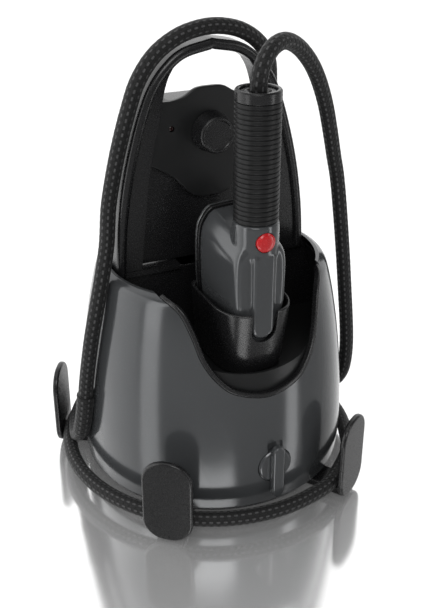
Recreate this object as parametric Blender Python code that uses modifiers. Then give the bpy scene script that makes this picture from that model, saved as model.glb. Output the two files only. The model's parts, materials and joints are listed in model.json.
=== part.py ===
"""Steam generator iron: a cylindrical steam station with a carry arch, and the iron standing in its cup.

Metres, +Z up, the front faces -Y, and the origin is on the floor under the middle of the station.
Azimuths are degrees from the front (-Y) towards +X.
"""

import math

import bmesh
import bpy
from mathutils import Matrix, Vector

MM = 0.001
GAP = 0.4 * MM

# Station
SHELL_WALL = 3.0 * MM
SHELL_PROFILE = [(91.0, 197.0), (96.0, 193.5), (99.6, 185.0), (105.0, 161.0), (109.8, 132.0), (113.4, 102.0),
                 (116.0, 66.0), (116.6, 38.0), (115.2, 15.6)]
TRAY_RADIUS = 113.5 * MM
TRAY_BOTTOM = 11.4 * MM
WELL_FLOOR = 129.0 * MM
APRON_TOP = 136.0 * MM
NOTCH_HALF = [(0.0, 116.5), (27.0, 122.5), (41.0, 134.0), (50.5, 150.0), (56.0, 170.0), (62.0, 187.0),
              (73.0, 198.5), (80.0, 215.0)]
NOTCH_BACK = -34.0 * MM
TRIM_WIDTH = 4.0 * MM
DECK_Z = (188.5 * MM, 193.0 * MM)
DECK_RADIUS = 87.4 * MM

# Cord hooks, and the steam hose that is wound inside them
HOOK_AZIMUTHS = (-119.0, -38.5, 34.0, 150.0)
HOOK_NAMES = ("left", "front_left", "front_right", "rear")
HOOK_INNER = 138.0 * MM
HOOK_THICK = 5.0 * MM
HOOK_WIDTH = 42.0 * MM
HOOK_HEIGHT = (2.0 * MM, 78.0 * MM)
HOOK_CORNER = 19.0 * MM
ARM_WIDTH = 24.0 * MM
HOSE_RADIUS = 6.3 * MM
HOSE_JOINT = 1.6 * MM
RING_RADIUS = 131.0 * MM
RING_Z = 18.0 * MM
UPPER_RADIUS = 125.0 * MM
UPPER_Z = 31.4 * MM

# Carry arch, seen from the front: half outlines from the foot up to the middle
ARCH_FRONT = -6.0 * MM
ARCH_BACK = 18.0 * MM
ARCH_OUTER = [(86.0, 188.5), (84.0, 222.0), (80.5, 250.0), (76.0, 274.0), (70.0, 298.0), (62.5, 322.0),
              (53.5, 343.0), (41.0, 359.0), (25.0, 370.0), (0.0, 375.5)]
ARCH_INNER = [(64.0, 188.5), (60.0, 225.0), (55.0, 268.0), (50.0, 294.0), (44.5, 316.0), (39.5, 340.0),
              (33.0, 354.0), (20.0, 363.5), (0.0, 367.0)]
PANEL_HALF = [(0.0, 338.0), (12.0, 337.0), (22.0, 331.5), (32.0, 329.0), (40.5, 329.0), (44.0, 314.0),
              (49.4, 293.0), (52.5, 279.0), (34.0, 268.0), (16.0, 250.0), (0.0, 247.0)]
RECESS_HALF = [(40.6, 327.0), (43.8, 314.0), (49.2, 293.0), (54.2, 268.0), (59.2, 225.0), (62.0, 194.0)]
WELL_BACK_HALF = [(94.0, 188.0), (98.5, 168.0), (101.5, 148.0), (103.5, 127.0)]
KNOB_Z = 302.0 * MM
TOWER_HALF_WIDTH = 36.0 * MM
TOWER_BACK = 46.0 * MM
TOWER_TOP = 326.0 * MM

# Hand-piece
GRIP_Y = -82.0 * MM
GRIP_RADIUS = 17.2 * MM
GRIP_Z = (257.0 * MM, 355.0 * MM)
HEAD_HALF = [(0.0, 255.0), (14.0, 254.4), (23.0, 247.0), (28.0, 232.0), (28.0, 192.0), (24.5, 173.0),
             (17.5, 157.0), (9.0, 145.0), (0.0, 141.0)]
HEAD_Y = (-95.5 * MM, -37.0 * MM)
HEAD_CENTRE = (0.0, 0.0, 199.0 * MM)
HEAD_FRONT_SHARE = 0.75
SPINE_HALF = [(0.0, 233.5), (7.0, 233.0), (9.2, 230.0), (9.2, 200.0), (9.2, 172.0), (6.6, 165.6), (0.0, 163.0)]
SPINE_FRONT = -100.0 * MM
CUP_BACK = -23.2 * MM
CUP_SEMI = (32.0 * MM, 40.2 * MM)
CUP_CENTRE_Y = CUP_BACK - CUP_SEMI[1]
CUP_WALL = 2.8 * MM
CUP_Z = (130.0 * MM, 186.5 * MM)
CUP_FOOT_SHARE = 0.88
SLOT_HALF_WIDTH = 10.6 * MM
SLOT_BOTTOM = 170.5 * MM
BUTTON_Z = 244.0 * MM
BUTTON_RADIUS = 7.6 * MM
DRAIN_AZIMUTH = 2.5
DRAIN_Z = 52.0 * MM
DRAIN_RADIUS = 15.0 * MM
SWITCH_AZIMUTH = 205.0
SWITCH_Z = 66.0 * MM
ROCKER_RADIUS = 113.0 * MM
INLET_AZIMUTH = 160.0
INLET_Z = 66.0 * MM

COLOURS = {
    "body_grey": ((0.075, 0.078, 0.082), 0.28, 0.55),
    "black_plastic": ((0.012, 0.012, 0.013), 0.35, 0.0),
    "panel_grey": ((0.028, 0.029, 0.031), 0.45, 0.0),
    "grip_rubber": ((0.035, 0.036, 0.038), 0.6, 0.0),
    "red_button": ((0.62, 0.012, 0.015), 0.3, 0.0),
    "hose_braid": ((0.03, 0.03, 0.032), 0.85, 0.0),
    "rubber": ((0.015, 0.015, 0.015), 0.8, 0.0),
    "steel": ((0.62, 0.62, 0.63), 0.25, 1.0),
    "aluminium": ((0.72, 0.73, 0.74), 0.35, 1.0),
    "brass": ((0.70, 0.52, 0.24), 0.3, 1.0),
    "board": ((0.03, 0.17, 0.07), 0.5, 0.0),
    "lens": ((0.2, 0.02, 0.02), 0.1, 0.0),
}


def clear_scene():
    for obj in list(bpy.data.objects):
        bpy.data.objects.remove(obj, do_unlink=True)


def new_collection(name, hidden=False):
    collection = bpy.data.collections.new(name)
    bpy.context.scene.collection.children.link(collection)
    collection.hide_render = hidden
    return collection


def make_materials():
    made = {}
    for name, (colour, roughness, metallic) in COLOURS.items():
        material = bpy.data.materials.new(name)
        material.use_nodes = True
        shader = material.node_tree.nodes["Principled BSDF"]
        shader.inputs["Base Color"].default_value = (*colour, 1.0)
        shader.inputs["Roughness"].default_value = roughness
        shader.inputs["Metallic"].default_value = metallic
        made[name] = material
    return made


clear_scene()
PARTS = new_collection("steam_generator_iron")
CUTTERS = new_collection("cutters", hidden=True)
MATERIALS = make_materials()


def polar(azimuth, radius, z=0.0):
    angle = math.radians(azimuth)
    return Vector((radius * math.sin(angle), -radius * math.cos(angle), z))


def link_mesh(name, mesh, material, collection=None):
    obj = bpy.data.objects.new(name, mesh)
    (collection or PARTS).objects.link(obj)
    if material:
        mesh.materials.clear()
        mesh.materials.append(MATERIALS[material])
        mesh.shade_smooth()
        mesh.set_sharp_from_angle(angle=math.radians(35))
    else:
        obj.display_type = "WIRE"
        obj.hide_render = True
    return obj


def mesh_of(obj):
    """The evaluated mesh of an object, its loose caps welded."""
    bpy.context.view_layer.update()
    mesh = bpy.data.meshes.new_from_object(obj.evaluated_get(bpy.context.evaluated_depsgraph_get()))
    shape = bmesh.new()
    shape.from_mesh(mesh)
    bmesh.ops.remove_doubles(shape, verts=shape.verts, dist=0.001 * MM)
    bmesh.ops.recalc_face_normals(shape, faces=shape.faces)
    shape.to_mesh(mesh)
    shape.free()
    return mesh


def baked(obj, material):
    """Replaces a curve or a modified object with a plain mesh object of the same name and place."""
    name, matrix, collection = obj.name, obj.matrix_world.copy(), obj.users_collection[0]
    mesh = mesh_of(obj)
    bpy.data.objects.remove(obj, do_unlink=True)
    made = link_mesh(name, mesh, material, collection)
    made.matrix_world = matrix
    return made


def turned(name, profile, material, steps=32, place=None):
    """A solid of revolution about +Z. The profile's (radius, z) points run down the outer side."""
    mesh = bpy.data.meshes.new(name)
    closed = profile[0][0] > 0 or profile[-1][0] > 0
    edges = [(i, i + 1) for i in range(len(profile) - 1)]
    if closed:
        edges.append((len(profile) - 1, 0))
    mesh.from_pydata([(radius, 0.0, z) for radius, z in profile], edges, [])
    obj = link_mesh(name, mesh, material)
    screw = obj.modifiers.new("Turn", "SCREW")
    screw.steps = screw.render_steps = steps
    screw.use_merge_vertices = True
    screw.merge_threshold = 0.00001
    screw.use_normal_calculate = True
    if place is not None:
        obj.matrix_world = place
    return baked(obj, material)


def outline(name, points, material, depth, centre, plane="XZ", round_edge=0.0, smooth=4, corners=()):
    """A flat outline through the points, extruded to the depth about the centre, in the XZ or XY plane."""
    curve = bpy.data.curves.new(name, "CURVE")
    curve.dimensions = "2D"
    curve.fill_mode = "BOTH"
    curve.extrude = depth / 2 - round_edge
    curve.bevel_depth = round_edge
    curve.offset = -round_edge
    curve.bevel_resolution = 1
    spline = curve.splines.new("BEZIER")
    spline.bezier_points.add(len(points) - 1)
    spline.use_cyclic_u = True
    spline.resolution_u = smooth
    for i, (point, (x, y)) in enumerate(zip(spline.bezier_points, points)):
        kind = "VECTOR" if i in corners else "AUTO"
        point.co = (x, y, 0.0)
        point.handle_left_type = point.handle_right_type = kind
    obj = bpy.data.objects.new(name, curve)
    (PARTS if material else CUTTERS).objects.link(obj)
    turn = Matrix.Rotation(math.radians(90), 4, "X") if plane == "XZ" else Matrix.Identity(4)
    obj.matrix_world = Matrix.Translation(centre) @ turn
    return baked(obj, material)


def mirrored(half, scale=MM):
    """A closed outline from its right half, whose points on the middle line aren't doubled."""
    right = [(x * scale, z * scale) for x, z in half]
    return right + [(-x, z) for x, z in reversed(right) if x > 0]


def box(name, low, high, material, round_edge=0.0, place=None):
    mesh = bpy.data.meshes.new(name)
    shape = bmesh.new()
    bmesh.ops.create_cube(shape, size=1.0)
    low, high = Vector(low), Vector(high)
    size = high - low
    bmesh.ops.scale(shape, vec=size, verts=shape.verts)
    bmesh.ops.translate(shape, vec=(low + high) / 2, verts=shape.verts)
    shape.to_mesh(mesh)
    shape.free()
    obj = link_mesh(name, mesh, material, None if material else CUTTERS)
    if round_edge:
        bevel = obj.modifiers.new("Edge", "BEVEL")
        bevel.width = round_edge
        bevel.segments = 2
    if place is not None:
        obj.matrix_world = place
    return obj


def rod(name, start, end, radius, material, sides=24, end_radius=None):
    """A round bar, or a cone, between two points."""
    start, end = Vector(start), Vector(end)
    mesh = bpy.data.meshes.new(name)
    shape = bmesh.new()
    bmesh.ops.create_cone(shape, cap_ends=True, segments=sides, radius1=radius,
                          radius2=radius if end_radius is None else end_radius, depth=(end - start).length)
    shape.to_mesh(mesh)
    shape.free()
    obj = link_mesh(name, mesh, material, None if material else CUTTERS)
    along = (end - start).to_track_quat("Z", "Y").to_matrix().to_4x4()
    obj.matrix_world = Matrix.Translation((start + end) / 2) @ along
    return obj


def boolean(obj, other, operation="DIFFERENCE"):
    """Cuts, joins or intersects, and leaves the other object as a hidden cutter."""
    modifier = obj.modifiers.new(operation.title(), "BOOLEAN")
    modifier.operation = operation
    modifier.object = other
    if other.name in PARTS.objects:
        PARTS.objects.unlink(other)
        CUTTERS.objects.link(other)
        other.hide_render = True
        other.display_type = "WIRE"
    return obj


def joined(obj, *others):
    for other in others:
        boolean(obj, other, "UNION")
    return obj


def cut(obj, *others):
    for other in others:
        boolean(obj, other, "DIFFERENCE")
    return obj


def tapered(obj, axis, start, end, share, centre):
    """Narrows an object along an axis, from full size at start to a share of it at end, about a centre."""
    matrix, centre = obj.matrix_world.copy(), Vector(centre)
    for vertex in obj.data.vertices:
        place = matrix @ vertex.co
        part = min(max((place[axis] - start) / (end - start), 0.0), 1.0)
        moved = centre + (place - centre) * (1.0 + (share - 1.0) * part)
        moved[axis] = place[axis]
        vertex.co = matrix.inverted() @ moved
    return obj


def wall_radius(z_mm):
    """The shell's outer radius at a height, both in millimetres."""
    for (r1, z1), (r0, z0) in zip(SHELL_PROFILE, SHELL_PROFILE[1:]):
        if z0 <= z_mm <= z1:
            return r0 + (r1 - r0) * (z_mm - z0) / (z1 - z0)
    return SHELL_PROFILE[0][0] if z_mm > SHELL_PROFILE[0][1] else SHELL_PROFILE[-1][0]


def shell_loop(outset=0.0, wall=3.0):
    """The shell's closed profile: down its outer side and back up the inner one."""
    outer = [((r + outset) * MM, z * MM) for r, z in SHELL_PROFILE]
    inner = [((r + outset - wall) * MM, z * MM) for r, z in reversed(SHELL_PROFILE)]
    return outer + inner


def radial(azimuth, z):
    """A frame on the station's axis at a height, whose +Z points outwards at the azimuth."""
    outward = polar(azimuth, 1.0)
    across = Vector((0, 0, 1)).cross(outward)
    turn = Matrix((across, outward.cross(across), outward)).transposed()
    return Matrix.Translation((0, 0, z)) @ turn.to_4x4()


# ---- hose ----

def smooth_route(points, spacing):
    """Points at an even spacing along a smooth curve through the given points."""
    knots = [Vector(p) for p in points]
    ends = [2 * knots[0] - knots[1], *knots, 2 * knots[-1] - knots[-2]]
    fine = []
    for a, b, c, d in zip(ends, ends[1:], ends[2:], ends[3:]):
        for step in range(12):
            t = step / 12
            fine.append(0.5 * (2 * b + (c - a) * t + (2 * a - 5 * b + 4 * c - d) * t ** 2
                               + (3 * b - 3 * c + d - a) * t ** 3))
    fine.append(knots[-1])
    lengths = [0.0]
    for a, b in zip(fine, fine[1:]):
        lengths.append(lengths[-1] + (b - a).length)
    count = max(2, round(lengths[-1] / spacing))
    route, place = [], 0
    for i in range(count + 1):
        wanted = lengths[-1] * i / count
        while place < len(fine) - 2 and lengths[place + 1] < wanted:
            place += 1
        share = (wanted - lengths[place]) / (lengths[place + 1] - lengths[place])
        route.append(fine[place].lerp(fine[place + 1], share))
    return route


def winding():
    """The hose round the base: one low turn, and half a turn on top of it at the back."""
    route = [polar(a, r * MM, z * MM) for a, r, z in
             ((86, 128.6, 45), (92, 130.6, 35.5), (99, 134.8, 28.5), (107, 137.2, 23.2), (119, 137, 18.4),
              (133, 134, 18))]
    route += [polar(a, RING_RADIUS, RING_Z) for a in range(147, 396, 12)]
    route += [polar(a, r * MM, z * MM) for a, r, z in
              ((408, 127.8, 18), (421, 124.6, 18), (434, 123.8, 18), (447, 123.8, 18.2), (459, 123.8, 19.6),
               (471, 123.8, 23.4), (483, 124.4, 28.0), (495, 125, 31.0))]
    route += [polar(a, UPPER_RADIUS, UPPER_Z) for a in range(507, 606, 14)]
    return route


HOSE_DOWN = [(112.0, -13.0, 252.0), (115.5, -15.0, 224.0), (120.5, -16.0, 185.0), (125.0, -17.0, 145.0),
             (128.6, -19.0, 105.0), (129.6, -19.5, 80.0), (129.2, -17.0, 60.0)]
HOSE_UP = [(-122.6, 24.0, 33.0), (-124.0, 10.0, 40.0), (-124.0, -1.0, 53.0), (-122.4, -8.0, 75.0),
           (-119.4, -13.0, 110.0), (-114.6, -16.5, 145.0), (-108.8, -17.5, 173.0), (-101.5, -14.0, 199.0),
           (-93.4, -5.0, 222.0), (-88.6, 0.5, 250.0), (-83.2, 1.0, 275.5), (-77.1, 0.5, 299.9),
           (-69.5, 0.0, 324.6), (-60.6, 0.0, 347.2), (-46.8, 0.0, 365.6), (-28.6, 0.0, 377.6),
           (-9.4, 0.5, 382.9), (9.4, 2.0, 382.9), (28.6, 5.0, 377.6), (45.6, 10.0, 366.8),
           (57.5, 16.0, 352.0), (64.5, 25.0, 334.0), (67.0, 31.0, 313.0), (66.0, 33.0, 288.0),
           (64.0, 33.0, 260.0), (62.4, 32.0, 235.0), (62.0, 32.0, 213.0)]
HOSE_LOOP = [(0.0, -82.0, 352.5), (0.3, -81.8, 358.0), (2.9, -80.2, 367.5), (9.3, -76.2, 376.0),
             (19.0, -70.1, 381.2), (30.5, -62.9, 381.6), (43.0, -55.1, 376.5), (56.0, -47.0, 367.0),
             (69.0, -38.8, 353.5), (80.0, -32.0, 337.0), (90.0, -25.7, 317.0), (99.5, -19.8, 291.0),
             (105.5, -16.0, 273.0), (112.0, -13.0, 252.0)]


def tube(name, route, radius, material, spacing, resolution=2):
    curve = bpy.data.curves.new(name, "CURVE")
    curve.dimensions = "3D"
    curve.bevel_depth = radius
    curve.bevel_resolution = resolution
    curve.use_fill_caps = True
    points = smooth_route(route, spacing)
    spline = curve.splines.new("POLY")
    spline.points.add(len(points) - 1)
    for point, place in zip(spline.points, points):
        point.co = (*place, 1.0)
    obj = bpy.data.objects.new(name, curve)
    PARTS.objects.link(obj)
    curve.materials.append(MATERIALS[material])
    return baked(obj, material)


def make_hose():
    down = [Vector(p) * MM for p in HOSE_DOWN]
    down[0] = down[0] + (down[1] - down[0]).normalized() * HOSE_JOINT
    up = [Vector(p) * MM for p in HOSE_UP]
    tube("steam_hose", down + winding() + up, HOSE_RADIUS, "hose_braid", 30 * MM)
    tube("steam_hose_loop", [Vector(p) * MM for p in HOSE_LOOP], HOSE_RADIUS, "hose_braid", 14 * MM)


# ---- station ----

def make_base():
    radius, bottom = TRAY_RADIUS, TRAY_BOTTOM
    turned("base_tray", [(0.0, bottom + 3 * MM), (radius - 5.5 * MM, bottom + 3 * MM),
                         (radius - 5.5 * MM, bottom + 11 * MM), (radius - 2.5 * MM, bottom + 11 * MM),
                         (radius - 2.5 * MM, bottom + 3.6 * MM), (radius, bottom + 3.6 * MM),
                         (radius - 2 * MM, bottom), (0.0, bottom)], "black_plastic", 40)
    for i, azimuth in enumerate((-67, -5, 67, 185), 1):
        at = polar(azimuth, 84 * MM)
        rod(f"foot_{i}", at, at + Vector((0, 0, bottom - GAP)), 9 * MM, "rubber", 20)
    rod("centre_rest", (0, 0, 0), (0, 0, bottom - GAP), 14 * MM, "rubber", 20)


def make_hook(label, azimuth):
    """A round-cornered upright plate at the end of a low arm."""
    low, high = HOOK_HEIGHT
    half = HOOK_WIDTH / 2
    corners = ((half, high), (-half, high), (-half, low), (half, low))
    points = []
    for (x, z), start in zip(corners, (0, 90, 180, 270)):
        middle = (x - math.copysign(HOOK_CORNER, x), z + (HOOK_CORNER if z == low else -HOOK_CORNER))
        points += [(middle[0] + HOOK_CORNER * math.cos(math.radians(start + step)),
                    middle[1] + HOOK_CORNER * math.sin(math.radians(start + step))) for step in (0, 45, 90)]
    turn = Matrix.Rotation(math.radians(azimuth), 4, "Z")
    middle = -(HOOK_INNER + HOOK_THICK / 2)
    plate = outline(f"hook_{label}", points, "black_plastic", HOOK_THICK, (0, middle, 0), round_edge=1.6 * MM,
                    smooth=2)
    arm = box(f"arm_{label}", (-ARM_WIDTH / 2, -HOOK_INNER - HOOK_THICK / 2, 3.2 * MM),
              (ARM_WIDTH / 2, -92 * MM, 10.9 * MM), "black_plastic")
    plate.matrix_world = turn @ plate.matrix_world
    arm.matrix_world = turn
    joined(plate, arm)


def notch_prism(name, shrink):
    """The notch's outline run back from the front, its edge moved inwards by the shrink."""
    half = []
    for x, z in NOTCH_HALF:
        side = min(1.0, x / 40.0)
        half.append((max(x - shrink * side, 0.0), z + shrink * (1 - 0.55 * side)))
    half.append((0.0, 216.0))
    points = mirrored(half)
    depth = 140 * MM + NOTCH_BACK
    last = len(NOTCH_HALF)
    return outline(name, points, None, depth, (0, NOTCH_BACK - depth / 2, 0), smooth=2,
                   corners=(last - 1, last, last + 1))


def make_shell():
    shell = turned("outer_shell", shell_loop(), "body_grey", 48)
    hole = rod("drain_hole", radial(DRAIN_AZIMUTH, DRAIN_Z) @ Vector((0, 0, 100 * MM)),
               radial(DRAIN_AZIMUTH, DRAIN_Z) @ Vector((0, 0, 130 * MM)), DRAIN_RADIUS + 0.5 * MM, None, 32)
    switch = box("switch_hole", (-10 * MM, -14 * MM, 100 * MM), (10 * MM, 14 * MM, 130 * MM), None,
                 place=radial(SWITCH_AZIMUTH, SWITCH_Z))
    inlet = rod("inlet_hole", radial(INLET_AZIMUTH, INLET_Z) @ Vector((0, 0, 100 * MM)),
                radial(INLET_AZIMUTH, INLET_Z) @ Vector((0, 0, 130 * MM)), 8.4 * MM, None, 24)
    cut(shell, notch_prism("notch", 0.0), hole, switch, inlet)


def make_notch_trim():
    trim = turned("notch_trim", shell_loop(0.6, 4.2), "black_plastic", 48)
    boolean(trim, notch_prism("notch_inside_gap", 0.4), "INTERSECT")
    cut(trim, notch_prism("notch_mouth", TRIM_WIDTH / MM))


def make_well_liner():
    """The well inside the notch: a floor, and a wall that follows the shell inside."""
    wall, gap = 2.4, 4.4
    heights = (188.0, 184.0, 163.0, 142.0, 120.0, 106.0)
    outer = [((wall_radius(z) - gap) * MM, z * MM) for z in heights]
    inner = [((wall_radius(z) - gap - wall) * MM, z * MM) for z in reversed(heights[:-2])]
    floor_r = (wall_radius(WELL_FLOOR / MM) - gap - wall) * MM
    low_r = (wall_radius(120.0) - gap - wall) * MM
    profile = ([(0.0, WELL_FLOOR), (floor_r, WELL_FLOOR)] + inner + outer
               + [(outer[-1][0] - wall * MM, heights[-1] * MM), (low_r, WELL_FLOOR - 3 * MM),
                  (0.0, WELL_FLOOR - 3 * MM)])
    liner = turned("well_liner", profile, "panel_grey", 40)
    window = [(0.0, APRON_TOP / MM), (30.0, APRON_TOP / MM + 3.0), (48.0, 146.0), (57.0, 160.0), (68.0, 230.0),
              (0.0, 230.0)]
    mouth = outline("apron_mouth", mirrored(window), None, 110 * MM, (0, -36 * MM - 55 * MM, 0), smooth=3,
                    corners=(4, 5, 6))
    back = box("liner_back", (-150 * MM, 1 * MM, 90 * MM), (150 * MM, 150 * MM, 240 * MM), None)
    cut(liner, mouth, back)


def cup_outline(semi, centre_y, count=32):
    """A rounded outline, round at the front and squarer at the back."""
    points = []
    for i in range(count):
        angle = 2 * math.pi * i / count
        c, s = math.cos(angle), math.sin(angle)
        power = 9.0 if s > 0 else 2.8
        points.append((math.copysign(semi[0] * abs(c) ** (2 / power), c),
                       centre_y + math.copysign(semi[1] * abs(s) ** (2 / power), s)))
    return points


def make_cup():
    low, high = CUP_Z
    back = (0.0, CUP_BACK, 0.0)
    body = outline("holster_cup", cup_outline(CUP_SEMI, CUP_CENTRE_Y), "black_plastic", high - low,
                   (0, 0, (low + high) / 2), plane="XY", smooth=1)
    tapered(body, 2, high, low, CUP_FOOT_SHARE, back)
    inside = outline("cup_inside", cup_outline((CUP_SEMI[0] - CUP_WALL, CUP_SEMI[1] - CUP_WALL), CUP_CENTRE_Y),
                     None, high - low, (0, 0, (low + high) / 2 + CUP_WALL), plane="XY", smooth=1)
    tapered(inside, 2, high, low, CUP_FOOT_SHARE, back)
    slot = box("cup_slot", (-SLOT_HALF_WIDTH, -120 * MM, SLOT_BOTTOM),
               (SLOT_HALF_WIDTH, CUP_CENTRE_Y, 240 * MM), None)
    slot_end = rod("cup_slot_end", (0, -120 * MM, SLOT_BOTTOM), (0, CUP_CENTRE_Y, SLOT_BOTTOM), SLOT_HALF_WIDTH,
                   None, 20)
    cut(body, inside, slot, slot_end)


def make_carry_frame():
    outer = [(x * MM, z * MM) for x, z in ARCH_OUTER]
    inner = [(x * MM, z * MM) for x, z in ARCH_INNER]
    points = (outer + [(-x, z) for x, z in reversed(outer[:-1])] + [(-x, z) for x, z in inner]
              + [(x, z) for x, z in reversed(inner[:-1])])
    ends = len(outer)
    corners = (0, 2 * ends - 2, 2 * ends - 1, len(points) - 1)
    depth = ARCH_BACK - ARCH_FRONT
    arch = outline("carry_frame", points, "black_plastic", depth, (0, (ARCH_FRONT + ARCH_BACK) / 2, 0),
                   round_edge=2.4 * MM, smooth=2, corners=corners)
    deck = turned("deck", [(0.0, DECK_Z[1]), (DECK_RADIUS, DECK_Z[1]), (DECK_RADIUS, DECK_Z[0]), (0.0, DECK_Z[0])],
                  "black_plastic", 48)
    front = box("deck_front", (-150 * MM, -150 * MM, 150 * MM), (150 * MM, ARCH_FRONT + 2.5 * MM, 230 * MM), None)
    mouth = box("deck_mouth", (-30 * MM, -60 * MM, 150 * MM), (30 * MM, 40 * MM, 230 * MM), None)
    hose = rod("deck_hose", (62 * MM, 32 * MM, 150 * MM), (62 * MM, 32 * MM, 230 * MM), 7.4 * MM, None, 20)
    cut(deck, front, mouth, hose)
    joined(arch, baked(deck, "black_plastic"))


def make_panels():
    panel = outline("front_panel", mirrored(PANEL_HALF), "panel_grey", 4.4 * MM, (0, 4.0 * MM, 0), smooth=2,
                    corners=(4, 7, len(PANEL_HALF) + 2, len(PANEL_HALF) + 5))
    recess = outline("recess_panel", mirrored(RECESS_HALF), "panel_grey", 3 * MM, (0, 8.2 * MM, 0), smooth=2,
                     corners=(0, 5, 6, 11))
    outline("well_back", mirrored(WELL_BACK_HALF), "panel_grey", 3 * MM, (0, 3.1 * MM, 0), smooth=2,
            corners=(0, 3, 4, 7))
    for obj, label in ((panel, "panel"), (recess, "recess")):
        hole = rod(f"{label}_knob_hole", (0, -20 * MM, KNOB_Z), (0, 30 * MM, KNOB_Z), 10.6 * MM, None, 28)
        cut(obj, hole)
    light = rod("lens_hole", (-33 * MM, -20 * MM, 307 * MM), (-33 * MM, 30 * MM, 307 * MM), 2.5 * MM, None, 16)
    cut(panel, light)
    rod("indicator_lens", (-33 * MM, 2.2 * MM, 307 * MM), (-33 * MM, 6.0 * MM, 307 * MM), 2.1 * MM, "lens", 16)


def make_tower():
    width, back, top = TOWER_HALF_WIDTH, TOWER_BACK, TOWER_TOP
    cover = box("tower_cover", (-width, 10.1 * MM, DECK_Z[1] + GAP), (width, back, top), "black_plastic")
    wall = 2.5 * MM
    inside = box("tower_inside", (-width + wall, 0, 150 * MM), (width - wall, back - wall, top - wall), None)
    bevel = cover.modifiers.new("Edge", "BEVEL")
    bevel.width = 7 * MM
    bevel.segments = 3
    cut(cover, inside)


def make_filler():
    """The filler neck behind the panel, the plug that closes it and the knob on the plug."""
    face_on = Matrix.Translation((0, 0, KNOB_Z)) @ Matrix.Rotation(math.radians(90), 4, "X")
    turned("filler_neck", [(10.0 * MM, -3.0 * MM), (10.0 * MM, -30.0 * MM), (7.4 * MM, -30.0 * MM),
                           (7.4 * MM, -3.0 * MM)], "brass", 24, face_on)
    plug = turned("filler_plug", [(0.0, 2.0 * MM), (5.0 * MM, 2.0 * MM), (5.0 * MM, -2.4 * MM), (9.6 * MM, -2.4 * MM),
                                  (9.6 * MM, -2.7 * MM), (7.0 * MM, -2.7 * MM), (7.0 * MM, -18 * MM),
                                  (0.0, -18 * MM)], "brass", 24, face_on)
    knob = turned("filler_knob", [(0.0, 14.2 * MM), (13.4 * MM, 14.2 * MM), (14.6 * MM, 13.2 * MM),
                                  (16.6 * MM, -0.4 * MM), (16.0 * MM, -1.3 * MM), (5.4 * MM, -1.3 * MM),
                                  (5.4 * MM, 2.4 * MM), (0.0, 2.4 * MM)], "black_plastic", 28, face_on)
    return plug, knob


def make_boiler():
    """A steel boiler in two pressed halves under the well, with what is screwed into it."""
    rim, r, wall = 72.0, 64.0, 1.6
    seam, low, high = 72.0, 30.0, 110.0
    turned("boiler_lower", [(0.0, (low + wall) * MM), (53 * MM, (low + wall) * MM), ((r - wall) * MM, 43 * MM),
                            ((r - wall) * MM, seam * MM), (rim * MM, seam * MM), (rim * MM, (seam - wall) * MM),
                            (r * MM, (seam - wall) * MM), (r * MM, 42 * MM), (54 * MM, low * MM),
                            (0.0, low * MM)], "steel", 32)
    top = turned("boiler_upper", [(0.0, high * MM), (50 * MM, high * MM), (r * MM, 98 * MM),
                                  (r * MM, (seam + 0.4 + wall) * MM), (rim * MM, (seam + 0.4 + wall) * MM),
                                  (rim * MM, (seam + 0.4) * MM), ((r - wall) * MM, (seam + 0.4) * MM),
                                  ((r - wall) * MM, 97 * MM), (49 * MM, (high - wall) * MM),
                                  (0.0, (high - wall) * MM)], "steel", 32)
    cut(top, rod("neck_hole", (0, 30 * MM, 90 * MM), (0, 30 * MM, 130 * MM), 7 * MM, None, 16),
        rod("valve_hole", (-28 * MM, 20 * MM, 90 * MM), (-28 * MM, 20 * MM, 130 * MM), 4 * MM, None, 12))
    turned("boiler_clamp", [((rim + 2) * MM, (seam + 5) * MM), ((rim + 2) * MM, (seam - 5) * MM),
                            ((rim + 0.4) * MM, (seam - 5) * MM), ((rim + 0.4) * MM, (seam + 5) * MM)], "steel", 32)
    ring = [polar(a, 34 * MM, 38 * MM) for a in range(20, 341, 20)]
    tube("heating_element", ring, 4 * MM, "steel", 14 * MM, 1)
    for name, x, y, tall, radius, material, sides in (("thermostat", 30, 20, 12, 9, "aluminium", 18),
                                                      ("pressure_switch", 34, -14, 14, 8, "brass", 12),
                                                      ("safety_valve", -34, -14, 13, 7, "brass", 6)):
        rod(name, (x * MM, y * MM, (high + 0.4) * MM), (x * MM, y * MM, (high + tall) * MM), radius * MM, material,
            sides)


def make_steam_line():
    """Filler pipe, solenoid valve, steam pipe and the hose gland on the deck."""
    tube("filler_pipe", [Vector(p) * MM for p in ((0, 30, 113), (0, 32, 140), (0, 34, 180), (0, 36, 230),
                                                  (0, 36.5, 280), (0, 36.6, 312))], 5 * MM, "steel", 18 * MM, 1)
    box("solenoid_valve", (22 * MM, 12 * MM, 134.5 * MM), (48 * MM, 40 * MM, 160 * MM), "aluminium", 2 * MM)
    tube("steam_pipe", [Vector(p) * MM for p in ((35, 26, 160.5), (35.5, 27, 168), (42, 29, 176), (54, 31, 180),
                                                 (61.5, 32, 184), (62, 32, 191))], 3 * MM, "brass", 7 * MM, 1)
    at = Matrix.Translation((62 * MM, 32 * MM, DECK_Z[1]))
    turned("hose_gland", [(8.6 * MM, 18.0 * MM), (10.4 * MM, 3.0 * MM), (12.5 * MM, 3.0 * MM), (12.5 * MM, GAP),
                          (6.9 * MM, GAP), (6.9 * MM, 18.0 * MM)], "rubber", 24, at)
    box("control_board", (-52 * MM, 24 * MM, 132 * MM), (-22 * MM, 66 * MM, 134 * MM), "board")


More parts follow.
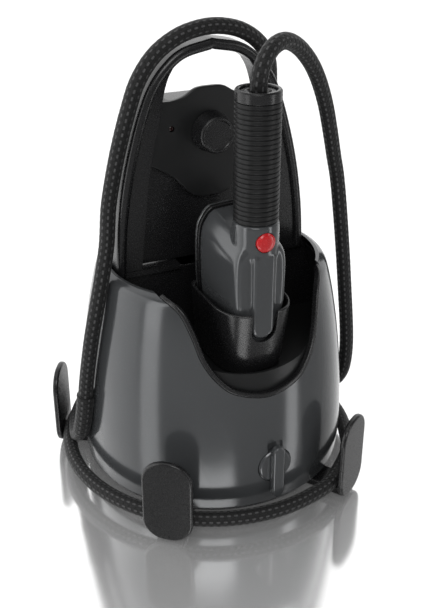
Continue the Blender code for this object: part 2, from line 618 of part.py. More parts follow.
def make_drain():
    """The seat behind the shell, and the quarter-turn plug with its long bar."""
    place = radial(DRAIN_AZIMUTH, DRAIN_Z)
    turned("drain_seat", [(12 * MM, 108 * MM), (12 * MM, 78 * MM), (8 * MM, 78 * MM), (8 * MM, 108 * MM)], "brass",
           24, place)
    disc = turned("descale_plug", [(0.0, 118.2 * MM), (13.6 * MM, 118.2 * MM), (15.0 * MM, 117.0 * MM),
                                   (15.0 * MM, 108.6 * MM), (7.4 * MM, 108.6 * MM), (7.4 * MM, 94 * MM),
                                   (0.0, 94 * MM)], "body_grey", 32, place)
    half, top, bottom, step = 5.3 * MM, 16.0 * MM, -23.0 * MM, 45
    tips = [(half * math.cos(math.radians(a)), top + half * math.sin(math.radians(a))) for a in range(0, 181, step)]
    tips += [(half * math.cos(math.radians(a)), bottom + half * math.sin(math.radians(a)))
             for a in range(180, 361, step)]
    bar = outline("descale_bar", tips, "body_grey", 6.4 * MM, (0, 0, 0), plane="XY", round_edge=1.2 * MM, smooth=1,
                  corners=(0, 4, 5, 9))
    bar.matrix_world = place @ Matrix.Translation((0, 0, 120.8 * MM))
    joined(disc, bar)


def make_switch_and_inlet():
    place = radial(SWITCH_AZIMUTH, SWITCH_Z)
    frame = box("switch_frame", (-9.6 * MM, -13.6 * MM, 104 * MM), (9.6 * MM, 13.6 * MM, 118.4 * MM), "black_plastic",
                place=place)
    cut(frame, box("switch_well", (-7 * MM, -11 * MM, 106 * MM), (7 * MM, 11 * MM, 130 * MM), None, place=place))
    box("power_rocker", (-6.5 * MM, -9.6 * MM, -1.5 * MM), (6.5 * MM, 9.6 * MM, 6.6 * MM), "black_plastic", 1 * MM,
        place=place @ Matrix.Translation((0, 0, ROCKER_RADIUS)))
    turned("mains_inlet", [(6.2 * MM, 132 * MM), (7.2 * MM, 122 * MM), (10.5 * MM, 121 * MM), (10.5 * MM, 117.2 * MM),
                           (8.0 * MM, 117.2 * MM), (8.0 * MM, 102 * MM), (4.2 * MM, 102 * MM), (4.2 * MM, 132 * MM)],
           "rubber", 24, radial(INLET_AZIMUTH, INLET_Z))


# ---- hand-piece ----

def make_housing():
    depth = HEAD_Y[1] - HEAD_Y[0]
    middle = (0, sum(HEAD_Y) / 2, 0)
    head = outline("handpiece_housing", mirrored(HEAD_HALF), "body_grey", depth, middle, round_edge=5 * MM,
                   smooth=2)
    narrowing = (1, HEAD_Y[1], HEAD_Y[0], HEAD_FRONT_SHARE, HEAD_CENTRE)
    tapered(head, *narrowing)
    low = GRIP_Z[0] - 31 * MM
    neck = turned("neck", [(0.0, GRIP_Z[0] - GAP), (17.4 * MM, GRIP_Z[0] - GAP), (18.0 * MM, GRIP_Z[0] - 6 * MM),
                           (18.0 * MM, low + 6 * MM), (15.5 * MM, low - 6 * MM), (0.0, low - 12 * MM)], "body_grey", 24,
                  Matrix.Translation((0, GRIP_Y, 0)))
    spine = outline("spine", mirrored(SPINE_HALF), "body_grey", 24 * MM, (0, SPINE_FRONT + 12 * MM, 0),
                    round_edge=2 * MM, smooth=2)
    joined(head, neck, spine)
    inner = [(x * 0.86, 199 + (z - 199) * 0.91) for x, z in HEAD_HALF]
    hollow = outline("head_hollow", mirrored(inner), None, 50 * MM, (0, HEAD_Y[1] - 11 * MM, 0), smooth=2)
    tapered(hollow, *narrowing)
    channel = rod("neck_channel", (0, GRIP_Y, 212 * MM), (0, GRIP_Y, 300 * MM), 14.6 * MM, None, 24)
    link = box("neck_link", (-11 * MM, -84 * MM, 214 * MM), (11 * MM, -60 * MM, 238 * MM), None)
    hole = rod("button_hole", (0, -130 * MM, BUTTON_Z), (0, GRIP_Y, BUTTON_Z), BUTTON_RADIUS + 0.5 * MM, None, 24)
    cut(head, hollow, channel, link, hole)


def make_handle():
    at = Matrix.Translation((0, GRIP_Y, 0))
    low, high = GRIP_Z
    turned("ribbed_grip", [(13.6 * MM, high), (GRIP_RADIUS, high), (GRIP_RADIUS, low), (11.0 * MM, low),
                           (11.0 * MM, high - 14 * MM), (13.6 * MM, high - 14 * MM)], "grip_rubber", 28, at)
    turned("strain_relief", [(13.2 * MM, high - 1.5 * MM), (13.2 * MM, high - 13.6 * MM),
                             (6.8 * MM, high - 13.6 * MM), (6.8 * MM, high - 4 * MM), (9.4 * MM, high - 1.5 * MM)],
           "black_plastic", 24, at)
    rod("steam_button", (0, -101.6 * MM, BUTTON_Z), (0, -92.5 * MM, BUTTON_Z), BUTTON_RADIUS, "red_button", 28)
    box("steam_switch", (-7 * MM, -89.5 * MM, BUTTON_Z - 8 * MM), (7 * MM, -78 * MM, BUTTON_Z + 8 * MM),
        "black_plastic")


def make_soleplate():
    """Heat shield, soleplate and the steam chamber behind them."""
    shield = [(x * 0.97, 199 + (z - 199) * 0.985) for x, z in HEAD_HALF]
    sole = [(x * 0.95, 199 + (z - 199) * 0.97) for x, z in HEAD_HALF]
    chamber = [(x * 0.66, 195 + (z - 199) * 0.72) for x, z in HEAD_HALF]
    outline("heat_shield", mirrored(shield), "black_plastic", 4.4 * MM, (0, HEAD_Y[1] + 2.6 * MM, 0), smooth=2)
    outline("soleplate", mirrored(sole), "aluminium", 3.6 * MM, (0, HEAD_Y[1] + 7 * MM, 0), smooth=2)
    outline("steam_chamber", mirrored(chamber), "aluminium", 22 * MM, (0, HEAD_Y[1] - 11.4 * MM, 0), smooth=2)


def main():
    make_base()
    for label, azimuth in zip(HOOK_NAMES, HOOK_AZIMUTHS):
        make_hook(label, azimuth)
    make_shell()
    make_notch_trim()
    make_well_liner()
    make_cup()
    make_carry_frame()
    make_panels()
    make_tower()
    make_filler()
    make_boiler()
    make_steam_line()
    make_drain()
    make_switch_and_inlet()
    make_housing()
    make_handle()
    make_soleplate()
    make_hose()


main()
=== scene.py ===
import json
import math

import bmesh
import bpy
import numpy as np
from mathutils import Matrix, Vector


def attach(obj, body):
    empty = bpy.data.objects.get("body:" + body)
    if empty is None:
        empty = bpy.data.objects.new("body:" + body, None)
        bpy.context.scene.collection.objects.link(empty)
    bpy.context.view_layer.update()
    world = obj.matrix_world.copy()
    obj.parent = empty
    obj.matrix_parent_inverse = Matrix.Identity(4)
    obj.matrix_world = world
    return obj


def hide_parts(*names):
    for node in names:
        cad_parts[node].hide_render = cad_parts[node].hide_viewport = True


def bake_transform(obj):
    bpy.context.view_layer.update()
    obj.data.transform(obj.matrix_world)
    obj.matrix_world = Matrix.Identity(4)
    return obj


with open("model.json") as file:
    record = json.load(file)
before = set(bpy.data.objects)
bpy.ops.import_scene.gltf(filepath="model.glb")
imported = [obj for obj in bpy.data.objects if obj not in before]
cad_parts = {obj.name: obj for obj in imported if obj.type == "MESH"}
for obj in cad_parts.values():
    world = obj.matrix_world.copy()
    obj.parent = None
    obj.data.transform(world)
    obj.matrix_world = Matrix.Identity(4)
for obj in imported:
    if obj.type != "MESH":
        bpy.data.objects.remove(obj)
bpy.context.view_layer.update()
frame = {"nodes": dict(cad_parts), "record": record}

# All sizes below are in millimetres unless they are multiplied by MM, which makes metres.
MM = 0.001
FINE_STEPS = 144
LEAST_CORNER = 20.0

# Station
SHELL_PROFILE = [(91.0, 197.0), (96.0, 193.5), (99.6, 185.0), (105.0, 161.0), (109.8, 132.0), (113.4, 102.0),
                 (116.0, 66.0), (116.6, 38.0), (115.2, 15.6)]
SHELL_WALL = 3.0
NOTCH_HALF = [(0.0, 116.5), (27.0, 122.5), (41.0, 134.0), (50.5, 150.0), (56.0, 170.0), (62.0, 187.0),
              (73.0, 198.5), (80.0, 215.0)]
NOTCH_BACK = -34.0
WELL_FLOOR = 129.0
APRON_TOP = 136.0
DECK_TOP, DECK_THICK, DECK_RADIUS = 193.0, 4.5, 87.4
TRAY_RADIUS, TRAY_BOTTOM = 113.5, 11.4
HOOK_AZIMUTHS = {"left": -119.0, "front_left": -38.5, "front_right": 34.0, "rear": 150.0}
HOOK_INNER, HOOK_THICK, HOOK_WIDTH, HOOK_LOW, HOOK_HIGH, HOOK_CORNER = 138.0, 5.0, 42.0, 2.0, 78.0, 19.0
ARM_HALF, ARM_INNER, ARM_LOW, ARM_HIGH = 12.0, 92.0, 3.2, 10.9

# Carry arch and panels, as half outlines seen from the front
ARCH_FRONT, ARCH_BACK, ARCH_EDGE, ARCH_BEAD = -6.0, 18.0, 3.9, 8.4
ARCH_OUTER = [(86.0, 188.5), (84.0, 222.0), (80.5, 250.0), (76.0, 274.0), (70.0, 298.0), (62.5, 322.0),
              (53.5, 343.0), (41.0, 359.0), (25.0, 370.0), (0.0, 375.5)]
ARCH_INNER = [(64.0, 188.5), (60.0, 225.0), (55.0, 268.0), (50.0, 294.0), (44.5, 316.0), (39.5, 340.0),
              (33.0, 354.0), (20.0, 363.5), (0.0, 367.0)]
PANEL_HALF = [(0.0, 338.0), (12.0, 337.0), (22.0, 331.5), (32.0, 329.0), (40.5, 329.0), (44.0, 314.0),
              (49.4, 293.0), (52.5, 279.0), (34.0, 268.0), (16.0, 250.0), (0.0, 247.0)]
RECESS_HALF = [(40.6, 327.0), (43.8, 314.0), (49.2, 293.0), (54.2, 268.0), (59.2, 225.0), (62.0, 194.0)]
WELL_BACK_HALF = [(94.0, 188.0), (98.5, 168.0), (101.5, 148.0), (103.5, 127.0)]
KNOB_Z, KNOB_HOLE = 302.0, 10.6
LENS_AT = (-33.0, 307.0)
TOWER_HALF, TOWER_FRONT, TOWER_BACK, TOWER_TOP, TOWER_WALL = 36.0, 10.1, 46.0, 326.0, 2.5
SCREW_X, SCREW_Z = 24, 214
GLAND_AT = (62.0, 32.0)

# Hand-piece
GRIP_Y, GRIP_RADIUS, GRIP_LOW, GRIP_HIGH, COLLAR_LOW = -82.0, 17.2, 257.0, 355.0, 346.5
GRIP_RINGS = 25
HEAD_HALF = [(0.0, 255.0), (14.0, 254.4), (23.0, 247.0), (28.0, 232.0), (28.0, 192.0), (24.5, 173.0),
             (17.5, 157.0), (9.0, 145.0), (0.0, 141.0)]
HEAD_FRONT, HEAD_BACK, HEAD_MIDDLE_Z, HEAD_FRONT_SHARE = -95.5, -37.0, 199.0, 0.75
SPINE_HALF = [(0.0, 233.5), (7.0, 233.0), (9.2, 230.0), (9.2, 200.0), (9.2, 172.0), (6.6, 165.6),
              (0.0, 163.0)]
SPINE_FRONT, SPINE_DEPTH = -100.0, 24.0
BUTTON_Z, BUTTON_RADIUS = 244.0, 7.6
CUP_BACK, CUP_HALF_X, CUP_HALF_Y, CUP_WALL, CUP_LOW, CUP_HIGH = -23.2, 32.0, 40.2, 2.8, 130.0, 186.5
CUP_FOOT_SHARE, CUP_STEPS = 0.88, 96
SLOT_HALF, SLOT_BOTTOM = 10.6, 170.5

# Controls round the shell
DRAIN_AZIMUTH, DRAIN_Z, DRAIN_RADIUS = 2.5, 52.0, 15.0
SWITCH_AZIMUTH, SWITCH_Z = 205.0, 66.0
INLET_AZIMUTH, INLET_Z = 160.0, 66.0

# Hose: the route of its centreline, from the hand-piece over its loop, down, round the base and up the arch
HOSE_RADIUS = 6.3
RING_RADIUS, RING_Z, UPPER_RADIUS, UPPER_Z = 131.0, 18.0, 125.0, 31.4
HOSE_LOOP = [(0.0, -82.0, 352.5), (0.3, -81.8, 358.0), (2.9, -80.2, 367.5), (9.3, -76.2, 376.0),
             (19.0, -70.1, 381.2), (30.5, -62.9, 381.6), (43.0, -55.1, 376.5), (56.0, -47.0, 367.0),
             (69.0, -38.8, 353.5), (80.0, -32.0, 337.0), (90.0, -25.7, 317.0), (99.5, -19.8, 291.0),
             (105.5, -16.0, 273.0)]
HOSE_DOWN = [(112.0, -13.0, 252.0), (115.5, -15.0, 224.0), (120.5, -16.0, 185.0), (125.0, -17.0, 145.0),
             (128.6, -19.0, 105.0), (129.6, -19.5, 80.0), (129.2, -17.0, 60.0)]
HOSE_ROUND = [(86, 128.6, 45), (92, 130.6, 35.5), (99, 134.8, 28.5), (107, 137.2, 23.2), (119, 137, 18.4),
              (133, 134, 18)]
HOSE_CLIMB = [(408, 127.8, 18), (421, 124.6, 18), (434, 123.8, 18), (447, 123.8, 18.2), (459, 123.8, 19.6),
              (471, 123.8, 23.4), (483, 124.4, 28.0), (495, 125, 31.0)]
HOSE_UP = [(-122.6, 24.0, 33.0), (-124.0, 10.0, 40.0), (-124.0, -1.0, 53.0), (-122.4, -8.0, 75.0),
           (-119.4, -13.0, 110.0), (-114.6, -16.5, 145.0), (-108.8, -17.5, 173.0), (-101.5, -14.0, 199.0),
           (-93.4, -5.0, 222.0), (-88.6, 0.5, 250.0), (-83.2, 1.0, 275.5), (-77.1, 0.5, 299.9),
           (-69.5, 0.0, 324.6), (-60.6, 0.0, 347.2), (-46.8, 0.0, 365.6), (-28.6, 0.0, 377.6),
           (-9.4, 0.5, 382.9), (9.4, 2.0, 382.9), (28.6, 5.0, 377.6), (45.6, 10.0, 366.8),
           (57.5, 16.0, 352.0), (64.5, 25.0, 334.0), (67.0, 31.0, 313.0), (66.0, 33.0, 288.0),
           (64.0, 33.0, 260.0), (62.4, 32.0, 235.0), (62.0, 32.0, 213.0)]
SLEEVE_SPAN = (50.0, 92.0)
SLEEVE_RADIUS = 7.4
BRAID_STRANDS = 8
BRAID_PITCH = 5.6 * MM
BRAID_RELIEF = 0.22
BRAID_AROUND = 40

# Setting
WORLD_FRONT, WORLD_BACK = 0.14, 1.3
FLOOR_GLOW, FLOOR_GLOSS = 0.2, 0.74


# ---- camera ----

def make_camera():
    data = bpy.data.cameras.new("camera")
    data.lens = 55.07
    data.sensor_width = 36.0
    camera = bpy.data.objects.new("camera", data)
    bpy.context.scene.collection.objects.link(camera)
    camera.location = (-0.2945, -0.6614, 0.516)
    camera.rotation_euler = (math.radians(63.0), 0.0, math.radians(-24.25))
    bpy.context.scene.camera = camera


make_camera()


# ---- materials ----

def add(tree, kind, inputs=None, **settings):
    """A node with its settings, each input a value or another node's socket."""
    node = tree.nodes.new(kind)
    for name, value in settings.items():
        setattr(node, name, value)
    for name, value in (inputs or {}).items():
        if isinstance(value, bpy.types.NodeSocket):
            tree.links.new(value, node.inputs[name])
        else:
            node.inputs[name].default_value = value
    return node


def math_node(tree, operation, first, second=0.0):
    return add(tree, "ShaderNodeMath", {0: first, 1: second}, operation=operation).outputs[0]


def blended(tree, factor, first, second):
    """A colour between two colours or sockets."""
    return add(tree, "ShaderNodeMix", {0: factor, 6: first, 7: second}, data_type="RGBA").outputs[2]


def ramp(tree, value, low, high, to_low=0.0, to_high=1.0):
    """A value mapped smoothly from one range to another."""
    return add(tree, "ShaderNodeMapRange", {0: value, 1: low, 2: high, 3: to_low, 4: to_high},
               interpolation_type="SMOOTHSTEP").outputs[0]


def rgba(colour, times=1.0):
    return (*(channel * times for channel in colour), 1.0)


def new_material(name):
    material = bpy.data.materials.new(name)
    material.use_nodes = True
    tree = material.node_tree
    return material, tree, tree.nodes["Principled BSDF"]


def surface(name, colour, roughness, metallic=0.0, coat=0.0, grain=900.0, depth=0.02, mottle=0.1, flecks=0.0,
            stretch=(1.0, 1.0, 1.0), specular=0.5):
    """A moulded or machined surface: broad mottling, a fine grain that roughens it and, if asked, flecks."""
    material, tree, shader = new_material(name)
    place = add(tree, "ShaderNodeTexCoord").outputs["Object"]
    place = add(tree, "ShaderNodeMapping", {"Vector": place, "Scale": stretch}).outputs[0]
    broad = add(tree, "ShaderNodeTexNoise", {"Vector": place, "Scale": 24.0, "Detail": 5.0}).outputs[0]
    fine = add(tree, "ShaderNodeTexNoise", {"Vector": place, "Scale": grain, "Detail": 3.0}).outputs[0]
    tint = blended(tree, ramp(tree, broad, 0.3, 0.7), rgba(colour, 1 - mottle), rgba(colour, 1 + mottle))
    if flecks:
        cells = add(tree, "ShaderNodeTexVoronoi", {"Vector": place, "Scale": 1300.0})
        bright = ramp(tree, cells.outputs["Color"], 0.72, 1.0, 0.0, flecks)
        tint = blended(tree, bright, tint, rgba(colour, 2.6))
    tree.links.new(tint, shader.inputs["Base Color"])
    rough = ramp(tree, fine, 0.25, 0.75, roughness * 0.85, roughness * 1.2)
    tree.links.new(rough, shader.inputs["Roughness"])
    bump = add(tree, "ShaderNodeBump", {"Height": fine, "Distance": depth * MM, "Strength": 0.6})
    tree.links.new(bump.outputs[0], shader.inputs["Normal"])
    shader.inputs["Metallic"].default_value = metallic
    shader.inputs["Specular IOR Level"].default_value = specular
    shader.inputs["Coat Weight"].default_value = coat
    shader.inputs["Coat Roughness"].default_value = 0.06
    return material


def braid_material():
    """A black textile braid: crossing strands of fine yarn, with painted highlights on the strands as
    staggered light dashes.
    """
    material, tree, shader = new_material("braid")
    uv = add(tree, "ShaderNodeSeparateXYZ", {0: add(tree, "ShaderNodeTexCoord").outputs["UV"]})
    turns = math_node(tree, "MULTIPLY", uv.outputs[0], BRAID_STRANDS)
    along = math_node(tree, "MULTIPLY", uv.outputs[1], 1 / BRAID_PITCH)
    right = math_node(tree, "FRACT", math_node(tree, "ADD", turns, along))
    left = math_node(tree, "FRACT", math_node(tree, "SUBTRACT", turns, along))

    def ridge(value):
        middle = math_node(tree, "ABSOLUTE", math_node(tree, "SUBTRACT", value, 0.5))
        return ramp(tree, middle, 0.5, 0.2)

    strands = math_node(tree, "MAXIMUM", ridge(right), ridge(left))
    # High where the strands cross and low in the grooves between them: it sets the painted shade in the
    # grooves.
    groove_shade_factor = math_node(tree, "MULTIPLY", ridge(right), ridge(left))
    yarn = add(tree, "ShaderNodeTexNoise", {"Vector": add(tree, "ShaderNodeTexCoord").outputs["Object"],
                                            "Scale": 1500.0, "Detail": 3.0}).outputs[0]
    # Staggered light dashes, one in each strand's cell: painted highlights on the strands.
    row = math_node(tree, "FLOOR", turns)
    stagger = math_node(tree, "MULTIPLY", row, 0.5)
    glint_place = math_node(tree, "FRACT", math_node(tree, "ADD", along, stagger))
    glint_along = math_node(tree, "ABSOLUTE", math_node(tree, "SUBTRACT", glint_place, 0.5))
    off_middle = math_node(tree, "SUBTRACT", math_node(tree, "FRACT", turns), 0.5)
    glint_across = math_node(tree, "ABSOLUTE", off_middle)
    painted_glint = math_node(tree, "MULTIPLY", ramp(tree, glint_along, 0.30, 0.2), ramp(tree, glint_across, 0.19, 0.1))
    painted_glint = math_node(tree, "MULTIPLY", painted_glint, ramp(tree, yarn, 0.38, 0.6, 0.45, 1.0))
    # Painted shade: the black base colour is darker in the grooves between strands than at their crossings.
    groove_shaded_black = blended(tree, groove_shade_factor, (0.002, 0.002, 0.002, 1), (0.006, 0.006, 0.0063, 1))
    # The dashes are painted highlights: light grey blended over the black base colour.
    tree.links.new(blended(tree, painted_glint, groove_shaded_black, (0.075, 0.075, 0.077, 1)), shader.inputs["Base Color"])
    tree.links.new(ramp(tree, yarn, 0.3, 0.7, 0.5, 0.75), shader.inputs["Roughness"])
    height = math_node(tree, "ADD", strands, math_node(tree, "MULTIPLY", yarn, 0.5))
    bump = add(tree, "ShaderNodeBump", {"Height": height, "Distance": 0.35 * MM, "Strength": 0.9})
    tree.links.new(bump.outputs[0], shader.inputs["Normal"])
    shader.inputs["Sheen Weight"].default_value = 0.08
    shader.inputs["Specular IOR Level"].default_value = 0.3
    return material


MATERIALS = {
    "body_grey": surface("graphite_gloss", (0.066, 0.069, 0.072), 0.15, metallic=0.3, flecks=0.08,
                         depth=0.001, mottle=0.02, specular=0.6),
    "black_plastic": surface("black_satin", (0.009, 0.009, 0.0096), 0.27, depth=0.002, specular=0.45),
    "panel_grey": surface("charcoal_satin", (0.009, 0.0093, 0.0096), 0.34, depth=0.004, specular=0.35),
    "grip_rubber": surface("soft_grip", (0.008, 0.0082, 0.0085), 0.42, depth=0.01, specular=0.25),
    "red_button": surface("red_gloss", (0.48, 0.007, 0.010), 0.25, coat=0.2, depth=0.004),
    "hose_braid": braid_material(),
    "rubber": surface("matt_rubber", (0.014, 0.014, 0.014), 0.75, depth=0.05),
    "steel": surface("brushed_steel", (0.60, 0.60, 0.61), 0.28, metallic=1.0, stretch=(1, 1, 14), depth=0.01),
    "aluminium": surface("satin_aluminium", (0.70, 0.71, 0.72), 0.34, metallic=1.0, depth=0.01, mottle=0.04),
    "brass": surface("turned_brass", (0.66, 0.48, 0.22), 0.3, metallic=1.0, depth=0.01),
    "board": surface("green_board", (0.02, 0.14, 0.05), 0.5, grain=500.0),
    "lens": surface("dark_lens", (0.012, 0.004, 0.004), 0.12, depth=0.002),
}


# ---- mesh tools ----

def polar(azimuth, radius, z=0.0):
    """A point from its azimuth, in degrees from the front (-Y) towards +X."""
    angle = math.radians(azimuth)
    return Vector((radius * math.sin(angle), -radius * math.cos(angle), z))


def radial(azimuth, z):
    """A frame on the station's axis at a height, whose +Z points outwards at the azimuth and +Y upwards."""
    outward = polar(azimuth, 1.0)
    across = Vector((0, 0, 1)).cross(outward)
    turn = Matrix((across, outward.cross(across), outward)).transposed()
    return Matrix.Translation((0, 0, z * MM)) @ turn.to_4x4()


def facing_front(x, z):
    """A frame at an x and a height whose +Z points to the front."""
    return Matrix.Translation((x * MM, 0, z * MM)) @ Matrix.Rotation(math.radians(90), 4, "X")


def new_object(name, mesh):
    obj = bpy.data.objects.new(name, mesh)
    bpy.context.scene.collection.objects.link(obj)
    return obj


def tidy_mesh(mesh):
    """Welds what meets and turns every face outwards."""
    shape = bmesh.new()
    shape.from_mesh(mesh)
    bmesh.ops.remove_doubles(shape, verts=shape.verts, dist=0.0005 * MM)
    bmesh.ops.dissolve_degenerate(shape, edges=shape.edges, dist=0.0001 * MM)
    bmesh.ops.recalc_face_normals(shape, faces=shape.faces)
    shape.to_mesh(mesh)
    shape.free()
    return mesh


def bake(obj):
    """Makes an object's modifiers, and a curve's surface, into its own plain mesh in the row frame."""
    bpy.context.view_layer.update()
    mesh = bpy.data.meshes.new_from_object(obj.evaluated_get(bpy.context.evaluated_depsgraph_get()))
    mesh.transform(obj.matrix_world)
    name = obj.name
    bpy.data.objects.remove(obj, do_unlink=True)
    return new_object(name, tidy_mesh(mesh))


def smooth_line(points, per_span=8):
    """Points along a smooth open line through the given ones, of any dimension."""
    knots = [np.array(p, float) for p in points]
    ends = [2 * knots[0] - knots[1], *knots, 2 * knots[-1] - knots[-2]]
    line = []
    for a, b, c, d in zip(ends, ends[1:], ends[2:], ends[3:]):
        for step in range(per_span):
            t = step / per_span
            line.append(0.5 * (2 * b + (c - a) * t + (2 * a - 5 * b + 4 * c - d) * t ** 2
                               + (3 * b - 3 * c + d - a) * t ** 3))
    return [*line, knots[-1]]


def smooth_outline(points, corners=(), per_span=8):
    """A closed outline through the points, smooth everywhere but at the corners."""
    count = len(points)
    if not corners:
        wrapped = [points[(i - 1) % count] for i in range(count + 3)]
        return smooth_line(wrapped, per_span)[per_span:-2 * per_span - 1]
    outline = []
    for first, last in zip(corners, [*corners[1:], corners[0] + count]):
        run = [points[i % count] for i in range(first, last + 1)]
        outline += smooth_line(run, per_span if len(run) > 2 else 1)[:-1]
    return outline


def mirrored(half):
    """A closed outline from its right half; points on the middle line aren't doubled."""
    return list(half) + [(-x, z) for x, z in reversed(half) if x > 0]


def rounded(points, radius, steps=5):
    """A closed outline with its corners rounded off."""
    made = []
    points = [Vector(p) for p in points]
    for before, here, after in zip(points[-1:] + points[:-1], points, points[1:] + points[:1]):
        back, on = before - here, after - here
        if back.length < 1e-6 or on.length < 1e-6:
            continue
        turn = math.pi - back.angle(on)
        if math.degrees(turn) < LEAST_CORNER:
            made.append(here)
            continue
        cut = min(radius * math.tan(turn / 2), 0.48 * back.length, 0.48 * on.length)
        start, end = here + back.normalized() * cut, here + on.normalized() * cut
        for i in range(steps + 1):
            t = i / steps
            made.append(start * (1 - t) ** 2 + here * 2 * t * (1 - t) + end * t ** 2)
    return made


def loft(name, rows, along=False, caps=False):
    """A surface through rows of points, each a closed loop; along joins the last row to the first."""
    count = len(rows[0])
    verts = [tuple(p) for row in rows for p in row]
    faces = []
    for i in range(len(rows) if along else len(rows) - 1):
        a, b = i * count, (i + 1) % len(rows) * count
        faces += [(a + j, a + (j + 1) % count, b + (j + 1) % count, b + j) for j in range(count)]
    if caps:
        last = (len(rows) - 1) * count
        faces += [tuple(range(count)), tuple(range(last, last + count))]
    mesh = bpy.data.meshes.new(name)
    mesh.from_pydata(verts, [], faces)
    return new_object(name, tidy_mesh(mesh))


def turned(name, profile, place=None, steps=FINE_STEPS, radius=0.5, ring=None):
    """A turned solid from (radius, z) points, its sharp corners rounded. A profile off the axis is a ring."""
    if ring is None:
        ring = profile[0][0] > 0 and profile[-1][0] > 0
    if ring:
        points = rounded(profile, radius)
    else:
        closed = [(-r, z) for r, z in reversed(profile) if r > 0] + list(profile)
        points = [p for p in rounded(closed, radius) if p[0] > 1e-6]
        points = [Vector((0, profile[0][1])), *points, Vector((0, profile[-1][1]))]
    angles = [2 * math.pi * i / steps for i in range(steps)]
    rows = [[(p[0] * math.cos(a) * MM, p[0] * math.sin(a) * MM, p[1] * MM) for a in angles] for p in points]
    obj = loft(name, rows, along=ring)
    if place is not None:
        obj.data.transform(place)
    return obj


def plate(name, points, low, high, edge=0.0, place=None, plane="XZ"):
    """A flat outline run from low to high along the plane's normal: +Y for XZ, +Z for XY."""
    curve = bpy.data.curves.new(name, "CURVE")
    curve.dimensions = "2D"
    curve.fill_mode = "BOTH"
    curve.extrude = (high - low) * MM / 2 - edge * MM
    curve.bevel_depth = edge * MM
    curve.offset = -edge * MM
    curve.bevel_resolution = 4 if edge else 0
    spline = curve.splines.new("POLY")
    spline.points.add(len(points) - 1)
    spline.use_cyclic_u = True
    for point, (x, y) in zip(spline.points, points):
        point.co = (x * MM, y * MM, 0.0, 1.0)
    obj = bpy.data.objects.new(name, curve)
    bpy.context.scene.collection.objects.link(obj)
    middle = (low + high) * MM / 2
    if plane == "XZ":
        obj.matrix_world = Matrix.Translation((0, middle, 0)) @ Matrix.Rotation(math.radians(90), 4, "X")
    else:
        obj.matrix_world = Matrix.Translation((0, 0, middle))
    made = bake(obj)
    if place is not None:
        made.data.transform(place)
    return made


def block(name, low, high, edge=0.0, place=None, segments=4):
    """A block between two corners with rounded edges."""
    low, high = Vector(low) * MM, Vector(high) * MM
    mesh = bpy.data.meshes.new(name)
    shape = bmesh.new()
    bmesh.ops.create_cube(shape, size=1.0)
    bmesh.ops.scale(shape, vec=high - low, verts=shape.verts)
    bmesh.ops.translate(shape, vec=(low + high) / 2, verts=shape.verts)
    if edge:
        bmesh.ops.bevel(shape, geom=shape.edges, offset=edge * MM, segments=segments, profile=0.5,
                        affect="EDGES", clamp_overlap=True)
    shape.to_mesh(mesh)
    shape.free()
    if place is not None:
        mesh.transform(place)
    return new_object(name, tidy_mesh(mesh))


def drill(start, end, radius, place=None, sides=64):
    """A round cutter between two points."""
    start, end = Vector(start) * MM, Vector(end) * MM
    mesh = bpy.data.meshes.new("drill")
    shape = bmesh.new()
    bmesh.ops.create_cone(shape, cap_ends=True, segments=sides, radius1=radius * MM, radius2=radius * MM,
                          depth=(end - start).length)
    shape.to_mesh(mesh)
    shape.free()
    turn = (end - start).to_track_quat("Z", "Y").to_matrix().to_4x4()
    mesh.transform(Matrix.Translation((start + end) / 2) @ turn)
    if place is not None:
        mesh.transform(place)
    return new_object("drill", mesh)


def carve(obj, *tools, operation="DIFFERENCE"):
    """Cuts, joins or intersects with each tool in turn, and removes the tools."""
    for tool in tools:
        modifier = obj.modifiers.new("Carve", "BOOLEAN")
        modifier.operation = operation
        modifier.object = tool
        obj = bake(obj)
        bpy.data.objects.remove(tool, do_unlink=True)
    return obj


def finish_piece(obj, name, slot, body, *nodes, sharp=38.0, weighted=True):
    """Names a piece, gives it its material and shading, and lets it ride and stand for its CAD nodes."""
    obj.name = name
    obj.data.materials.clear()
    obj.data.materials.append(MATERIALS[slot])
    obj.data.shade_smooth()
    obj.data.set_sharp_from_angle(angle=math.radians(sharp))
    if weighted:
        normals = obj.modifiers.new("Normals", "WEIGHTED_NORMAL")
        normals.keep_sharp = True
        normals.weight = 80
    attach(obj, body)
    if nodes:
        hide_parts(*nodes)
    return obj


# ---- hose ----

def hose_line():
    """Points 1 mm apart along the whole hose, in millimetres, and its length."""
    winding = [tuple(polar(a, r, z)) for a, r, z in HOSE_ROUND]
    winding += [tuple(polar(a, RING_RADIUS, RING_Z)) for a in range(147, 396, 12)]
    winding += [tuple(polar(a, r, z)) for a, r, z in HOSE_CLIMB]
    winding += [tuple(polar(a, UPPER_RADIUS, UPPER_Z)) for a in range(507, 606, 14)]
    fine = np.array(smooth_line(HOSE_LOOP + HOSE_DOWN + winding + HOSE_UP, 24))
    return evenly(fine, 1.0)


def evenly(fine, spacing):
    """Points at about this spacing along a line of points, and the line's length."""
    steps = np.linalg.norm(np.diff(fine, axis=0), axis=1)
    lengths = np.concatenate([[0.0], np.cumsum(steps)])
    count = max(2, round(lengths[-1] / spacing))
    wanted = np.linspace(0.0, lengths[-1], count + 1)
    return np.stack([np.interp(wanted, lengths, fine[:, i]) for i in range(3)], axis=1), lengths[-1]


def carried_frames(line):
    """Two directions across the line at each point, carried along it without twist."""
    tangents = np.gradient(line, axis=0)
    tangents /= np.linalg.norm(tangents, axis=1)[:, None]
    side = np.cross(tangents[0], (0.3, 0.8, 0.5))
    sides = []
    for tangent in tangents:
        side = side - tangent * side.dot(tangent)
        side = side / np.linalg.norm(side)
        sides.append(side)
    sides = np.array(sides)
    return sides, np.cross(tangents, sides)


